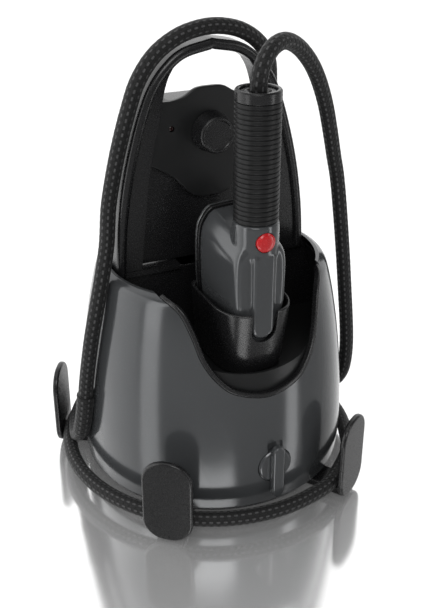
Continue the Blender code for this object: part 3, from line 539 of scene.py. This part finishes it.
def braided_tube(name, line, radius):
    """A tube along the line whose strands stand out, with its length in metres along V."""
    sides, ups = carried_frames(line)
    steps = np.linalg.norm(np.diff(line, axis=0), axis=1)
    lengths = np.concatenate([[0.0], np.cumsum(steps)]) * MM
    around = BRAID_AROUND
    turn = np.arange(around) / around
    right = turn[None, :] * BRAID_STRANDS + lengths[:, None] / BRAID_PITCH
    left = turn[None, :] * BRAID_STRANDS - lengths[:, None] / BRAID_PITCH
    over = np.where((np.floor(right) + np.floor(left)) % 2 == 0, np.sin(np.pi * (right % 1)),
                    np.sin(np.pi * (left % 1)))
    height = radius - BRAID_RELIEF + BRAID_RELIEF * 1.2 * np.abs(over) ** 0.7
    angle = 2 * np.pi * turn
    across = (sides[:, None, :] * np.cos(angle)[None, :, None]
              + ups[:, None, :] * np.sin(angle)[None, :, None])
    points = (line[:, None, :] + across * height[:, :, None]) * MM
    rows = len(line)
    index = np.arange(rows * around).reshape(rows, around)
    a, b = index[:-1], index[1:]
    faces = np.stack([a, np.roll(a, -1, 1), np.roll(b, -1, 1), b], axis=2).reshape(-1, 4).tolist()
    ends = [index[0][::-1].tolist(), index[-1].tolist()]
    mesh = bpy.data.meshes.new(name)
    mesh.from_pydata(points.reshape(-1, 3).tolist(), [], faces + ends)
    uv = np.zeros((len(mesh.loops), 2), np.float32)
    low = np.repeat(turn[None, :], rows - 1, 0)
    high = low + 1 / around
    start, stop = lengths[:-1, None] + 0 * low, lengths[1:, None] + 0 * low
    quads = np.stack([np.stack([low, start], 2), np.stack([high, start], 2), np.stack([high, stop], 2),
                      np.stack([low, stop], 2)], axis=2).reshape(-1, 2)
    uv[:len(quads)] = quads
    layer = mesh.uv_layers.new(name="UVMap")
    layer.data.foreach_set("uv", uv.ravel())
    obj = new_object(name, mesh)
    mesh.materials.append(MATERIALS["hose_braid"])
    mesh.shade_smooth()
    return obj


def make_hose():
    line, length = hose_line()
    hose = braided_tube("braided_hose", line, HOSE_RADIUS)
    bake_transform(hose)
    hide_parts("steam_hose", "steam_hose_loop")
    rising = evenly(np.array(smooth_line(HOSE_UP, 24)), 1.0)[0]
    span = rising[(rising[:, 2] > SLEEVE_SPAN[0]) & (rising[:, 2] < SLEEVE_SPAN[1]) & (rising[:, 0] < 0)]
    sleeve = braided_tube("hose_sleeve", span, SLEEVE_RADIUS)
    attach(sleeve, "station")


make_hose()


# ---- station ----

def shell_loop():
    """The section of the shell's wall."""
    outer = [(p[0], p[1]) for p in smooth_line(SHELL_PROFILE, 7)]
    return outer + [(r - SHELL_WALL, z) for r, z in reversed(outer)]


def notch_points():
    points = mirrored([*NOTCH_HALF, (0.0, 216.0)])
    last = len(NOTCH_HALF)
    return smooth_outline(points, (last - 1, last, last + 1), 12)


def make_shell():
    shell = turned("shell", shell_loop(), steps=192, radius=1.3)
    drain, inlet = radial(DRAIN_AZIMUTH, DRAIN_Z), radial(INLET_AZIMUTH, INLET_Z)
    shell = carve(shell, plate("notch", notch_points(), -140.0, NOTCH_BACK),
                  drill((0, 0, 100), (0, 0, 130), DRAIN_RADIUS + 0.5, drain, 96),
                  block("finger_notch", (-7, 12, 113.6), (7, 22.5, 130), 2.0, drain),
                  block("switch_hole", (-10, -14, 100), (10, 14, 130), 0, radial(SWITCH_AZIMUTH, SWITCH_Z)),
                  drill((0, 0, 100), (0, 0, 130), 8.4, inlet))
    finish_piece(shell, "shell_body", "body_grey", "station", "outer_shell", sharp=30.0)


def wall_radius(z):
    """The shell's outer radius at a height."""
    fine = np.array(smooth_line(SHELL_PROFILE, 7))[::-1]
    return float(np.interp(z, fine[:, 1], fine[:, 0]))


def on_shell(x, z):
    """The front point of the shell's surface at an x and a height, and its outward normal."""
    radius = wall_radius(z)
    point = Vector((x, -math.sqrt(max(radius ** 2 - x ** 2, 0.0)), z))
    slope = (wall_radius(z + 1) - wall_radius(z - 1)) / 2
    return point, Vector((point.x / radius, point.y / radius, -slope)).normalized()


def make_trim():
    """A rounded black strip along the inside of the notch's edge."""
    half = list(reversed(NOTCH_HALF[1:]))
    path = smooth_line([(-x, z) for x, z in half] + [NOTCH_HALF[0]] + [(x, z) for x, z in NOTCH_HALF[1:]], 14)
    path = [p for p in path if p[1] < 196.0]
    places = [on_shell(x, z) for x, z in path]
    section = rounded([(0.4, 0.6), (4.0, 0.6), (4.0, -4.4), (0.4, -4.4)], 1.1, 4)
    rows = []
    for i, (point, normal) in enumerate(places):
        before, after = places[max(i - 1, 0)][0], places[min(i + 1, len(places) - 1)][0]
        inward = normal.cross((after - before).normalized())
        rows.append([(point + inward * across + normal * out) * MM for across, out in section])
    trim = loft("trim", rows, caps=True)
    finish_piece(trim, "notch_trim_strip", "black_plastic", "station", "notch_trim")


def make_well():
    """The well behind the notch: a floor, an apron at its front and a wall that follows the shell."""
    wall, gap = 2.4, 4.4
    heights = np.linspace(188.0, 106.0, 18)
    outer = [(wall_radius(z) - gap, z) for z in heights]
    inner = [(r - wall, z) for r, z in reversed(outer) if z > WELL_FLOOR + 4]
    floor_radius = wall_radius(WELL_FLOOR) - gap - wall
    profile = ([(0.0, WELL_FLOOR), (floor_radius, WELL_FLOOR)] + inner + outer
               + [(outer[-1][0] - wall, 106.0), (wall_radius(120.0) - gap - wall, WELL_FLOOR - 3),
                  (0.0, WELL_FLOOR - 3)])
    well = turned("well", profile, radius=1.0, ring=False)
    window = [(0.0, APRON_TOP), (30.0, APRON_TOP + 3.0), (48.0, 146.0), (57.0, 160.0), (68.0, 230.0),
              (0.0, 230.0)]
    mouth = plate("apron_mouth", smooth_outline(mirrored(window), (4, 5, 6), 10), -146.0, -36.0)
    well = carve(well, mouth, block("liner_back", (-150, 1, 90), (150, 150, 240)))
    finish_piece(well, "well_wall", "panel_grey", "station", "well_liner", sharp=32.0)


def cup_row(inset, z):
    """A loop of the cup, round at the front and squarer at the back; it narrows towards its foot."""
    row = []
    share = CUP_FOOT_SHARE + (1 - CUP_FOOT_SHARE) * (z - CUP_LOW) / (CUP_HIGH - CUP_LOW)
    for i in range(CUP_STEPS):
        c, s = math.cos(2 * math.pi * i / CUP_STEPS), math.sin(2 * math.pi * i / CUP_STEPS)
        power = 9.0 if s > 0 else 2.8
        x = math.copysign((CUP_HALF_X - inset) * abs(c) ** (2 / power), c)
        y = -CUP_HALF_Y + math.copysign((CUP_HALF_Y - inset) * abs(s) ** (2 / power), s)
        row.append((x * share * MM, (CUP_BACK + y * share) * MM, z * MM))
    return row


def make_cup():
    side = [(4.0, CUP_LOW), (1.2, CUP_LOW + 0.4), (0.0, CUP_LOW + 2.4)]
    side += [(0.0, CUP_LOW + 2.4 + (CUP_HIGH - CUP_LOW - 4.0) * i / 6) for i in range(1, 7)]
    rim = [(CUP_WALL / 2 * (1 - math.cos(math.radians(a))), CUP_HIGH - 1.6 + 1.5 * math.sin(math.radians(a)))
           for a in range(15, 180, 15)]
    inside = [(CUP_WALL, CUP_HIGH - 1.7 - (CUP_HIGH - CUP_LOW - 6.0) * i / 6) for i in range(7)]
    rows = [cup_row(inset, z) for inset, z in side + rim + inside + [(CUP_WALL + 3, CUP_LOW + 3.0)]]
    cup = loft("cup", rows, caps=True)
    slot_points = [(-SLOT_HALF, 240.0), (SLOT_HALF, 240.0), (SLOT_HALF, SLOT_BOTTOM)]
    slot_points += [(SLOT_HALF * math.cos(math.radians(a)),
                     SLOT_BOTTOM - SLOT_HALF * math.sin(math.radians(a))) for a in range(6, 180, 6)]
    slot_points += [(-SLOT_HALF, SLOT_BOTTOM)]
    cup = carve(cup, plate("slot", slot_points, -120.0, CUP_BACK - CUP_HALF_Y))
    edge = cup.modifiers.new("Edge", "BEVEL")
    edge.width = 0.5 * MM
    edge.segments = 3
    edge.limit_method = "ANGLE"
    edge.angle_limit = math.radians(50)
    finish_piece(cup, "cup", "black_plastic", "station", "holster_cup", sharp=32.0)


def band(outer, inner):
    """The outline of a strip between two half lines, each run from its foot to the middle and mirrored."""
    return (list(outer) + [(-x, z) for x, z in reversed(outer[:-1])] + [(-x, z) for x, z in inner]
            + [(x, z) for x, z in reversed(inner[:-1])])


def make_arch():
    """The carry arch, and the deck that its feet stand on."""
    outer, inner = smooth_line(ARCH_OUTER, 8), smooth_line(ARCH_INNER, 8)
    across = np.gradient(np.array(outer), axis=0)
    across /= np.linalg.norm(across, axis=1)[:, None]
    middle = [(max(p[0] - ARCH_BEAD * d[1], 0.0), p[1] + ARCH_BEAD * d[0]) for p, d in zip(outer, across)]
    arch = plate("arch", band(outer, middle), ARCH_FRONT, ARCH_BACK, ARCH_EDGE)
    web = [(x + 1.4 * d[1], z - 1.4 * d[0]) for (x, z), d in zip(middle, across)][:-12]
    web += [(x, z) for x, z in inner if z < 352.0][::-1]
    for side in (1, -1):
        arch = carve(arch, plate("web", [(x * side, z) for x, z in web], ARCH_FRONT + 3.4, ARCH_BACK - 3.0),
                     operation="UNION")
    finish_piece(arch, "carry_arch", "black_plastic", "station", "carry_frame")
    deck = turned("deck", [(0.0, DECK_TOP), (DECK_RADIUS, DECK_TOP), (DECK_RADIUS, DECK_TOP - DECK_THICK),
                           (0.0, DECK_TOP - DECK_THICK)], radius=0.8)
    deck = carve(deck, block("front", (-150, -150, 150), (150, ARCH_FRONT + 2.5, 230)),
                 block("mouth", (-30, -60, 150), (30, 40, 230), 4.0),
                 drill((*GLAND_AT, 150), (*GLAND_AT, 230), 7.4))
    finish_piece(deck, "deck_plate", "black_plastic", "station")


def make_panels():
    last = len(PANEL_HALF)
    panel = plate("panel", smooth_outline(mirrored(PANEL_HALF), (4, 7, last + 2, last + 5), 8), 1.8, 6.2, 1.2)
    recess = plate("recess", smooth_outline(mirrored(RECESS_HALF), (0, 5, 6, 11), 6), 6.7, 9.7, 0.4)
    back = plate("back", smooth_outline(mirrored(WELL_BACK_HALF), (0, 3, 4, 7), 6), 1.6, 4.6, 0.4)
    panel = carve(panel, drill((0, -20, KNOB_Z), (0, 30, KNOB_Z), KNOB_HOLE),
                  drill((LENS_AT[0], -20, LENS_AT[1]), (LENS_AT[0], 30, LENS_AT[1]), 2.5, sides=32))
    recess = carve(recess, drill((0, -20, KNOB_Z), (0, 30, KNOB_Z), KNOB_HOLE))
    finish_piece(panel, "upper_panel", "panel_grey", "station", "front_panel")
    finish_piece(recess, "recess_plate", "black_plastic", "station", "recess_panel")
    finish_piece(back, "well_back_plate", "black_plastic", "station", "well_back")
    lens = turned("lens", [(0.0, -2.3), (1.2, -2.4), (2.1, -2.9), (2.1, -6.0), (0.0, -6.0)],
                  facing_front(*LENS_AT), 32, 0.2)
    finish_piece(lens, "pilot_lens", "lens", "station", "indicator_lens")


def make_knob():
    """The filler cap's knob: a tapered drum with a shallow dished face."""
    knob = turned("knob", [(0.0, 13.4), (11.4, 13.4), (12.2, 14.2), (13.6, 14.2), (14.6, 13.2), (16.6, -0.4),
                           (16.0, -1.3), (5.4, -1.3), (5.4, 2.4), (0.0, 2.4)], facing_front(0, KNOB_Z),
                  FINE_STEPS, 0.7, ring=False)
    finish_piece(knob, "cap_knob", "black_plastic", "filler_cap_knob", "filler_knob")


def make_tower():
    """The cover behind the panel, with a vent and two screws in its back."""
    wall = TOWER_WALL
    cover = block("tower", (-TOWER_HALF, TOWER_FRONT, DECK_TOP + 0.4), (TOWER_HALF, TOWER_BACK, TOWER_TOP),
                  7.0, segments=6)
    inside = block("inside", (-TOWER_HALF + wall, 0, 150),
                   (TOWER_HALF - wall, TOWER_BACK - wall, TOWER_TOP - wall))
    vents = [block(f"vent_{i}", (-18, TOWER_BACK - 6, 286.0 - 7 * i),
                   (18, TOWER_BACK + 6, 289.0 - 7 * i), 1.2) for i in range(5)]
    seats = [drill((x, TOWER_BACK - 1.2, SCREW_Z), (x, TOWER_BACK + 6, SCREW_Z), 4.4, sides=40)
             for x in (-SCREW_X, SCREW_X)]
    cover = carve(cover, inside, *vents, *seats)
    finish_piece(cover, "rear_cover", "black_plastic", "station", "tower_cover", sharp=32.0)
    for label, x in (("left", -SCREW_X), ("right", SCREW_X)):
        face_back = Matrix.Translation((x * MM, 0, SCREW_Z * MM)) @ Matrix.Rotation(math.radians(-90), 4, "X")
        screw = turned(f"screw_{label}", [(0.0, 45.5), (2.6, 45.4), (3.7, 44.9), (3.7, 44.0), (0.0, 44.0)],
                       face_back, 40, 0.3)
        screw = carve(screw, block("cross", (x - 2.0, 44.9, 213.6), (x + 2.0, 47, 214.4)),
                      block("cross", (x - 0.4, 44.9, 212.0), (x + 0.4, 47, 216.0)))
        finish_piece(screw, f"rear_screw_{label}", "steel", "station")


def make_base():
    """The base tray, its rubber feet and the centre rest."""
    r, z = TRAY_RADIUS, TRAY_BOTTOM
    tray = turned("tray", [(0.0, z + 3), (r - 5.5, z + 3), (r - 5.5, z + 11), (r - 2.5, z + 11),
                           (r - 2.5, z + 3.6), (r, z + 3.6), (r - 2, z), (0.0, z)], radius=0.8, ring=False)
    finish_piece(tray, "tray", "black_plastic", "station", "base_tray")
    places = {f"foot_{i}": (polar(azimuth, 84 * MM), 9.0) for i, azimuth in enumerate((-67, -5, 67, 185), 1)}
    places["centre_rest"] = (Vector((0, 0, 0)), 14.0)
    for node, (at, radius) in places.items():
        high = TRAY_BOTTOM - 0.4
        foot = turned(node, [(0.0, high), (radius, high), (radius, 3.6), (radius - 0.8, 3.2),
                             (radius - 0.8, 2.2), (radius, 1.8), (radius, 0.0), (radius * 0.55, 0.0),
                             (radius * 0.5, 0.6), (0.0, 0.6)],
                      Matrix.Translation(at), 64, 0.5, ring=False)
        finish_piece(foot, f"rubber_{node}", "rubber", "station", node)


def make_hooks():
    """Four round-ended upright plates, each on a low arm."""
    half = HOOK_WIDTH / 2
    corners = ((half, HOOK_HIGH), (-half, HOOK_HIGH), (-half, HOOK_LOW), (half, HOOK_LOW))
    points = []
    for (x, z), start in zip(corners, (0, 90, 180, 270)):
        middle_x = x - math.copysign(HOOK_CORNER, x)
        middle_z = z + (HOOK_CORNER if z == HOOK_LOW else -HOOK_CORNER)
        points += [(middle_x + HOOK_CORNER * math.cos(math.radians(start + step)),
                    middle_z + HOOK_CORNER * math.sin(math.radians(start + step)))
                   for step in range(0, 91, 6)]
    for label, azimuth in HOOK_AZIMUTHS.items():
        turn = Matrix.Rotation(math.radians(azimuth), 4, "Z")
        hook = plate("hook", points, -HOOK_INNER - HOOK_THICK, -HOOK_INNER, 1.8, turn)
        arm = block("arm", (-ARM_HALF, -HOOK_INNER - HOOK_THICK / 2, ARM_LOW),
                    (ARM_HALF, -ARM_INNER, ARM_HIGH), 1.6, turn)
        hook = carve(hook, arm, operation="UNION")
        finish_piece(hook, f"cord_hook_{label}", "black_plastic", "station", f"hook_{label}", sharp=34.0)


def make_gland():
    """The ribbed rubber gland that the hose comes out of on the deck."""
    profile = [(12.5, 0.4), (12.5, 3.0), (10.6, 3.2)]
    for i in range(4):
        low = 4.2 + 3.4 * i
        radius = 10.3 - 0.4 * i
        profile += [(radius, low), (radius, low + 1.9), (radius - 0.9, low + 2.2), (radius - 0.9, low + 3.1)]
    profile += [(8.4, 18.0), (6.9, 18.0), (6.9, 0.4)]
    at = Matrix.Translation((GLAND_AT[0] * MM, GLAND_AT[1] * MM, DECK_TOP * MM))
    gland = turned("gland", list(reversed(profile)), at, 72, 0.3)
    finish_piece(gland, "hose_boot", "rubber", "station", "hose_gland")


def make_drain():
    """The quarter-turn descaling plug: a disc with a raised bar across it."""
    place = radial(DRAIN_AZIMUTH, DRAIN_Z)
    disc = turned("disc", [(0.0, 117.8), (13.0, 117.8), (14.0, 117.4), (15.0, 116.4), (15.0, 108.6),
                           (7.4, 108.6), (7.4, 94.0), (0.0, 94.0)], place, 96, 0.6)
    half, top, bottom = 5.3, 16.0, -23.0
    ends = [(half * math.cos(math.radians(a)),
             (top if a < 180 else bottom) + half * math.sin(math.radians(a)))
            for a in [*range(0, 180, 10), 180, *range(181, 360, 10)]]
    bar = plate("bar", ends, 117.6, 124.0, 1.5, place, plane="XY")
    disc = carve(disc, bar, operation="UNION")
    finish_piece(disc, "descale_knob", "body_grey", "drain_cap", "descale_plug", sharp=34.0)


def make_switch_and_inlet():
    place = radial(SWITCH_AZIMUTH, SWITCH_Z)
    rim = block("rim", (-9.6, -13.6, 104), (9.6, 13.6, 118.4), 0.9, place)
    rim = carve(rim, block("hollow", (-7, -11, 106), (7, 11, 130), 0.6, place))
    finish_piece(rim, "switch_rim", "black_plastic", "station", "switch_frame")
    rocker = block("rocker", (-6.5, -9.6, 111.5), (6.5, 9.6, 119.6), 1.2, place)
    rocker = carve(rocker, drill((-20, 0, 141.0), (20, 0, 141.0), 23.2, place, 96))
    finish_piece(rocker, "rocker_key", "black_plastic", "switch_rocker", "power_rocker")
    profile = [(4.2, 102.0), (4.2, 132.0), (6.2, 132.0)]
    for i in range(3):
        high = 130.6 - 3.0 * i
        profile += [(6.4 + 0.3 * i, high), (6.4 + 0.3 * i, high - 1.6), (5.6 + 0.3 * i, high - 1.9),
                    (5.6 + 0.3 * i, high - 2.7)]
    profile += [(10.5, 121.0), (10.5, 117.2), (8.0, 117.2), (8.0, 102.0)]
    inlet = turned("inlet", profile, radial(INLET_AZIMUTH, INLET_Z), 64, 0.3)
    finish_piece(inlet, "mains_bush", "rubber", "station", "mains_inlet")


# ---- hand-piece ----

def narrowed(obj):
    """Draws the head's sections in towards its front."""
    for vertex in obj.data.vertices:
        part = min(max((vertex.co.y / MM - HEAD_BACK) / (HEAD_FRONT - HEAD_BACK), 0.0), 1.0)
        share = 1.0 + (HEAD_FRONT_SHARE - 1.0) * part
        vertex.co.x *= share
        vertex.co.z = (HEAD_MIDDLE_Z + (vertex.co.z / MM - HEAD_MIDDLE_Z) * share) * MM
    return obj


def make_housing():
    """The iron's body: head, neck and raised spine, flowing into each other."""
    neck_low = GRIP_LOW - 31.0
    head = narrowed(plate("head", smooth_outline(mirrored(HEAD_HALF), (), 8), HEAD_FRONT, HEAD_BACK, 6.0))
    neck = turned("neck", [(0.0, GRIP_LOW - 0.4), (17.4, GRIP_LOW - 0.4), (18.0, GRIP_LOW - 6.0),
                           (18.0, neck_low + 6.0), (15.5, neck_low - 6.0), (0.0, neck_low - 12.0)],
                  Matrix.Translation((0, GRIP_Y * MM, 0)), 96, 1.0)
    spine = plate("spine", smooth_outline(mirrored(SPINE_HALF), (), 8), SPINE_FRONT,
                  SPINE_FRONT + SPINE_DEPTH, 2.4)
    body = carve(head, neck, spine, operation="UNION")
    remesh = body.modifiers.new("Even", "REMESH")
    remesh.mode = "VOXEL"
    remesh.voxel_size = 0.8 * MM
    soften = body.modifiers.new("Soften", "SMOOTH")
    soften.factor = 0.5
    soften.iterations = 14
    body = bake(body)
    inner = [(x * 0.86, 199 + (z - 199) * 0.91) for x, z in HEAD_HALF]
    hollow = narrowed(plate("hollow", smooth_outline(mirrored(inner), (), 8), HEAD_BACK - 36.0,
                            HEAD_BACK + 14.0))
    body = carve(body, hollow, drill((0, GRIP_Y, 212), (0, GRIP_Y, 300), 14.6),
                 block("link", (-11, -84, 214), (11, -60, 238), 2.0),
                 drill((0, -130, BUTTON_Z), (0, GRIP_Y, BUTTON_Z), BUTTON_RADIUS + 0.5))
    finish_piece(body, "iron_body", "body_grey", "handpiece", "handpiece_housing", sharp=40.0, weighted=False)


def make_grip():
    """The ringed grip, the glossy collar at its top and the soft cone that holds the hose."""
    at = Matrix.Translation((0, GRIP_Y * MM, 0))
    pitch = (COLLAR_LOW - GRIP_LOW) / GRIP_RINGS
    profile = [(11.0, GRIP_LOW)]
    for i in range(GRIP_RINGS):
        low = GRIP_LOW + i * pitch
        profile += [(GRIP_RADIUS - 0.75, low + 0.02), (GRIP_RADIUS - 0.75, low + 0.35),
                    (GRIP_RADIUS - 0.1, low + 0.75), (GRIP_RADIUS, low + 1.3),
                    (GRIP_RADIUS, low + pitch - 0.6), (GRIP_RADIUS - 0.15, low + pitch - 0.2)]
    profile += [(GRIP_RADIUS - 0.6, COLLAR_LOW), (11.0, COLLAR_LOW)]
    grip = turned("grip", profile, at, 96, 0.25)
    finish_piece(grip, "ringed_grip", "grip_rubber", "handpiece", "ribbed_grip", sharp=50.0, weighted=False)
    collar = turned("collar", [(13.6, COLLAR_LOW + 0.2), (13.6, GRIP_HIGH - 0.6), (14.2, GRIP_HIGH),
                               (GRIP_RADIUS - 0.9, GRIP_HIGH), (GRIP_RADIUS, GRIP_HIGH - 1.2),
                               (GRIP_RADIUS, COLLAR_LOW + 0.6), (GRIP_RADIUS - 0.5, COLLAR_LOW + 0.2)],
                    at, 96, 0.5)
    finish_piece(collar, "grip_collar", "black_plastic", "handpiece")
    cone = turned("cone", [(6.8, GRIP_HIGH - 13.6), (6.8, GRIP_HIGH - 4.0), (9.4, GRIP_HIGH - 1.8),
                           (13.2, GRIP_HIGH - 1.8), (13.2, GRIP_HIGH - 13.6)], at, 96, 0.8)
    finish_piece(cone, "hose_cone", "black_plastic", "handpiece", "strain_relief")


def make_button():
    dome = [(BUTTON_RADIUS * 0.86 * math.sin(math.radians(a)), 100.7 + 0.9 * math.cos(math.radians(a)))
            for a in range(0, 91, 15)]
    button = turned("button", [*dome, (BUTTON_RADIUS, 100.0), (BUTTON_RADIUS, 92.5), (0.0, 92.5)],
                    facing_front(0, BUTTON_Z), 96, 0.5)
    finish_piece(button, "steam_key", "red_button", "button", "steam_button", sharp=45.0)


def make_soleplate():
    """The heat shield, and the aluminium soleplate with its steam holes and a rounded edge."""
    def scaled(x_times, z_times):
        return [(x * x_times, 199 + (z - 199) * z_times) for x, z in HEAD_HALF]
    shield = plate("shield", smooth_outline(mirrored(scaled(0.97, 0.985)), (), 8), -36.6, -32.2, 0.8)
    finish_piece(shield, "heat_guard", "black_plastic", "handpiece", "heat_shield")
    sole = plate("sole", smooth_outline(mirrored(scaled(0.95, 0.97)), (), 8), -31.8, -28.2, 0.9)
    spots = [(0.0, 154.0)]
    for z, x in ((163.0, 9.0), (175.0, 14.0), (189.0, 18.0), (204.0, 19.0), (219.0, 19.0), (233.0, 17.0)):
        spots += [(x, z), (-x, z)]
    sole = carve(sole, *[drill((x, -34, z), (x, -20, z), 1.6, sides=24) for x, z in spots])
    finish_piece(sole, "sole_face", "aluminium", "handpiece", "soleplate")


# ---- setting ----

def area_light(name, at, target, width, height, power):
    data = bpy.data.lights.new(name, "AREA")
    data.shape = "RECTANGLE"
    data.size, data.size_y = width, height
    data.energy = power
    lamp = bpy.data.objects.new(name, data)
    bpy.context.scene.collection.objects.link(lamp)
    lamp.location = at
    lamp.rotation_euler = (Vector(target) - Vector(at)).to_track_quat("-Z", "Y").to_euler()
    lamp.visible_camera = False


def make_setting():
    world = bpy.data.worlds.new("studio")
    world.use_nodes = True
    tree = world.node_tree
    direction = add(tree, "ShaderNodeSeparateXYZ", {0: add(tree, "ShaderNodeTexCoord").outputs["Generated"]})
    behind = ramp(tree, direction.outputs[1], -0.2, 0.7, WORLD_FRONT, WORLD_BACK)
    tree.links.new(behind, tree.nodes["Background"].inputs["Strength"])
    tree.nodes["Background"].inputs["Color"].default_value = (1.0, 1.0, 1.0, 1.0)
    bpy.context.scene.world = world
    bpy.context.scene.view_settings.view_transform = "Standard"

    material, tree, shader = new_material("pale_floor")
    place = add(tree, "ShaderNodeTexCoord").outputs["Object"]
    cloud = add(tree, "ShaderNodeTexNoise", {"Vector": place, "Scale": 6.0, "Detail": 3.0}).outputs[0]
    tint = blended(tree, cloud, (0.84, 0.84, 0.845, 1), (0.88, 0.88, 0.88, 1))
    tree.links.new(tint, shader.inputs["Base Color"])
    shader.inputs["Roughness"].default_value = 0.6
    shader.inputs["Emission Color"].default_value = (1.0, 1.0, 1.0, 1.0)
    shader.inputs["Emission Strength"].default_value = FLOOR_GLOW
    gloss = add(tree, "ShaderNodeBsdfGlossy", {"Color": (1, 1, 1, 1), "Roughness": 0.13})
    mixed = add(tree, "ShaderNodeMixShader", {0: FLOOR_GLOSS, 1: shader.outputs[0], 2: gloss.outputs[0]})
    tree.links.new(mixed.outputs[0], tree.nodes["Material Output"].inputs["Surface"])
    mesh = bpy.data.meshes.new("floor")
    shape = bmesh.new()
    bmesh.ops.create_grid(shape, x_segments=8, y_segments=8, size=60.0)
    shape.to_mesh(mesh)
    shape.free()
    mesh.materials.append(material)
    floor = new_object("floor", mesh)
    floor.location = (0, 0, -0.0004)

    area_light("softbox_left", polar(-112, 1.25, 0.5), (0, 0, 0.15), 1.2, 1.2, 3.6)
    area_light("softbox_edge", polar(-76, 1.45, 0.5), (0, 0, 0.15), 0.42, 1.2, 4.6)
    area_light("strip_right", polar(45, 1.3, 0.4), (0, 0, 0.15), 0.26, 1.2, 3.3)
    area_light("front_fill", polar(-24, 2.2, 1.9), (0, 0, 0.12), 1.6, 1.0, 26.0)
    area_light("top", (-0.3, -0.2, 1.6), (0, 0, 0.2), 0.9, 0.9, 3.0)


def make_all():
    make_shell()
    make_trim()
    make_well()
    make_cup()
    make_arch()
    make_panels()
    make_knob()
    make_tower()
    make_base()
    make_hooks()
    make_gland()
    make_drain()
    make_switch_and_inlet()
    make_housing()
    make_grip()
    make_button()
    make_soleplate()
    for part in frame["record"]["subparts"]:
        node = frame["nodes"][part["node"]]
        node.data.materials.clear()
        node.data.materials.append(MATERIALS[part["material_slot"]])
    make_setting()


make_all()
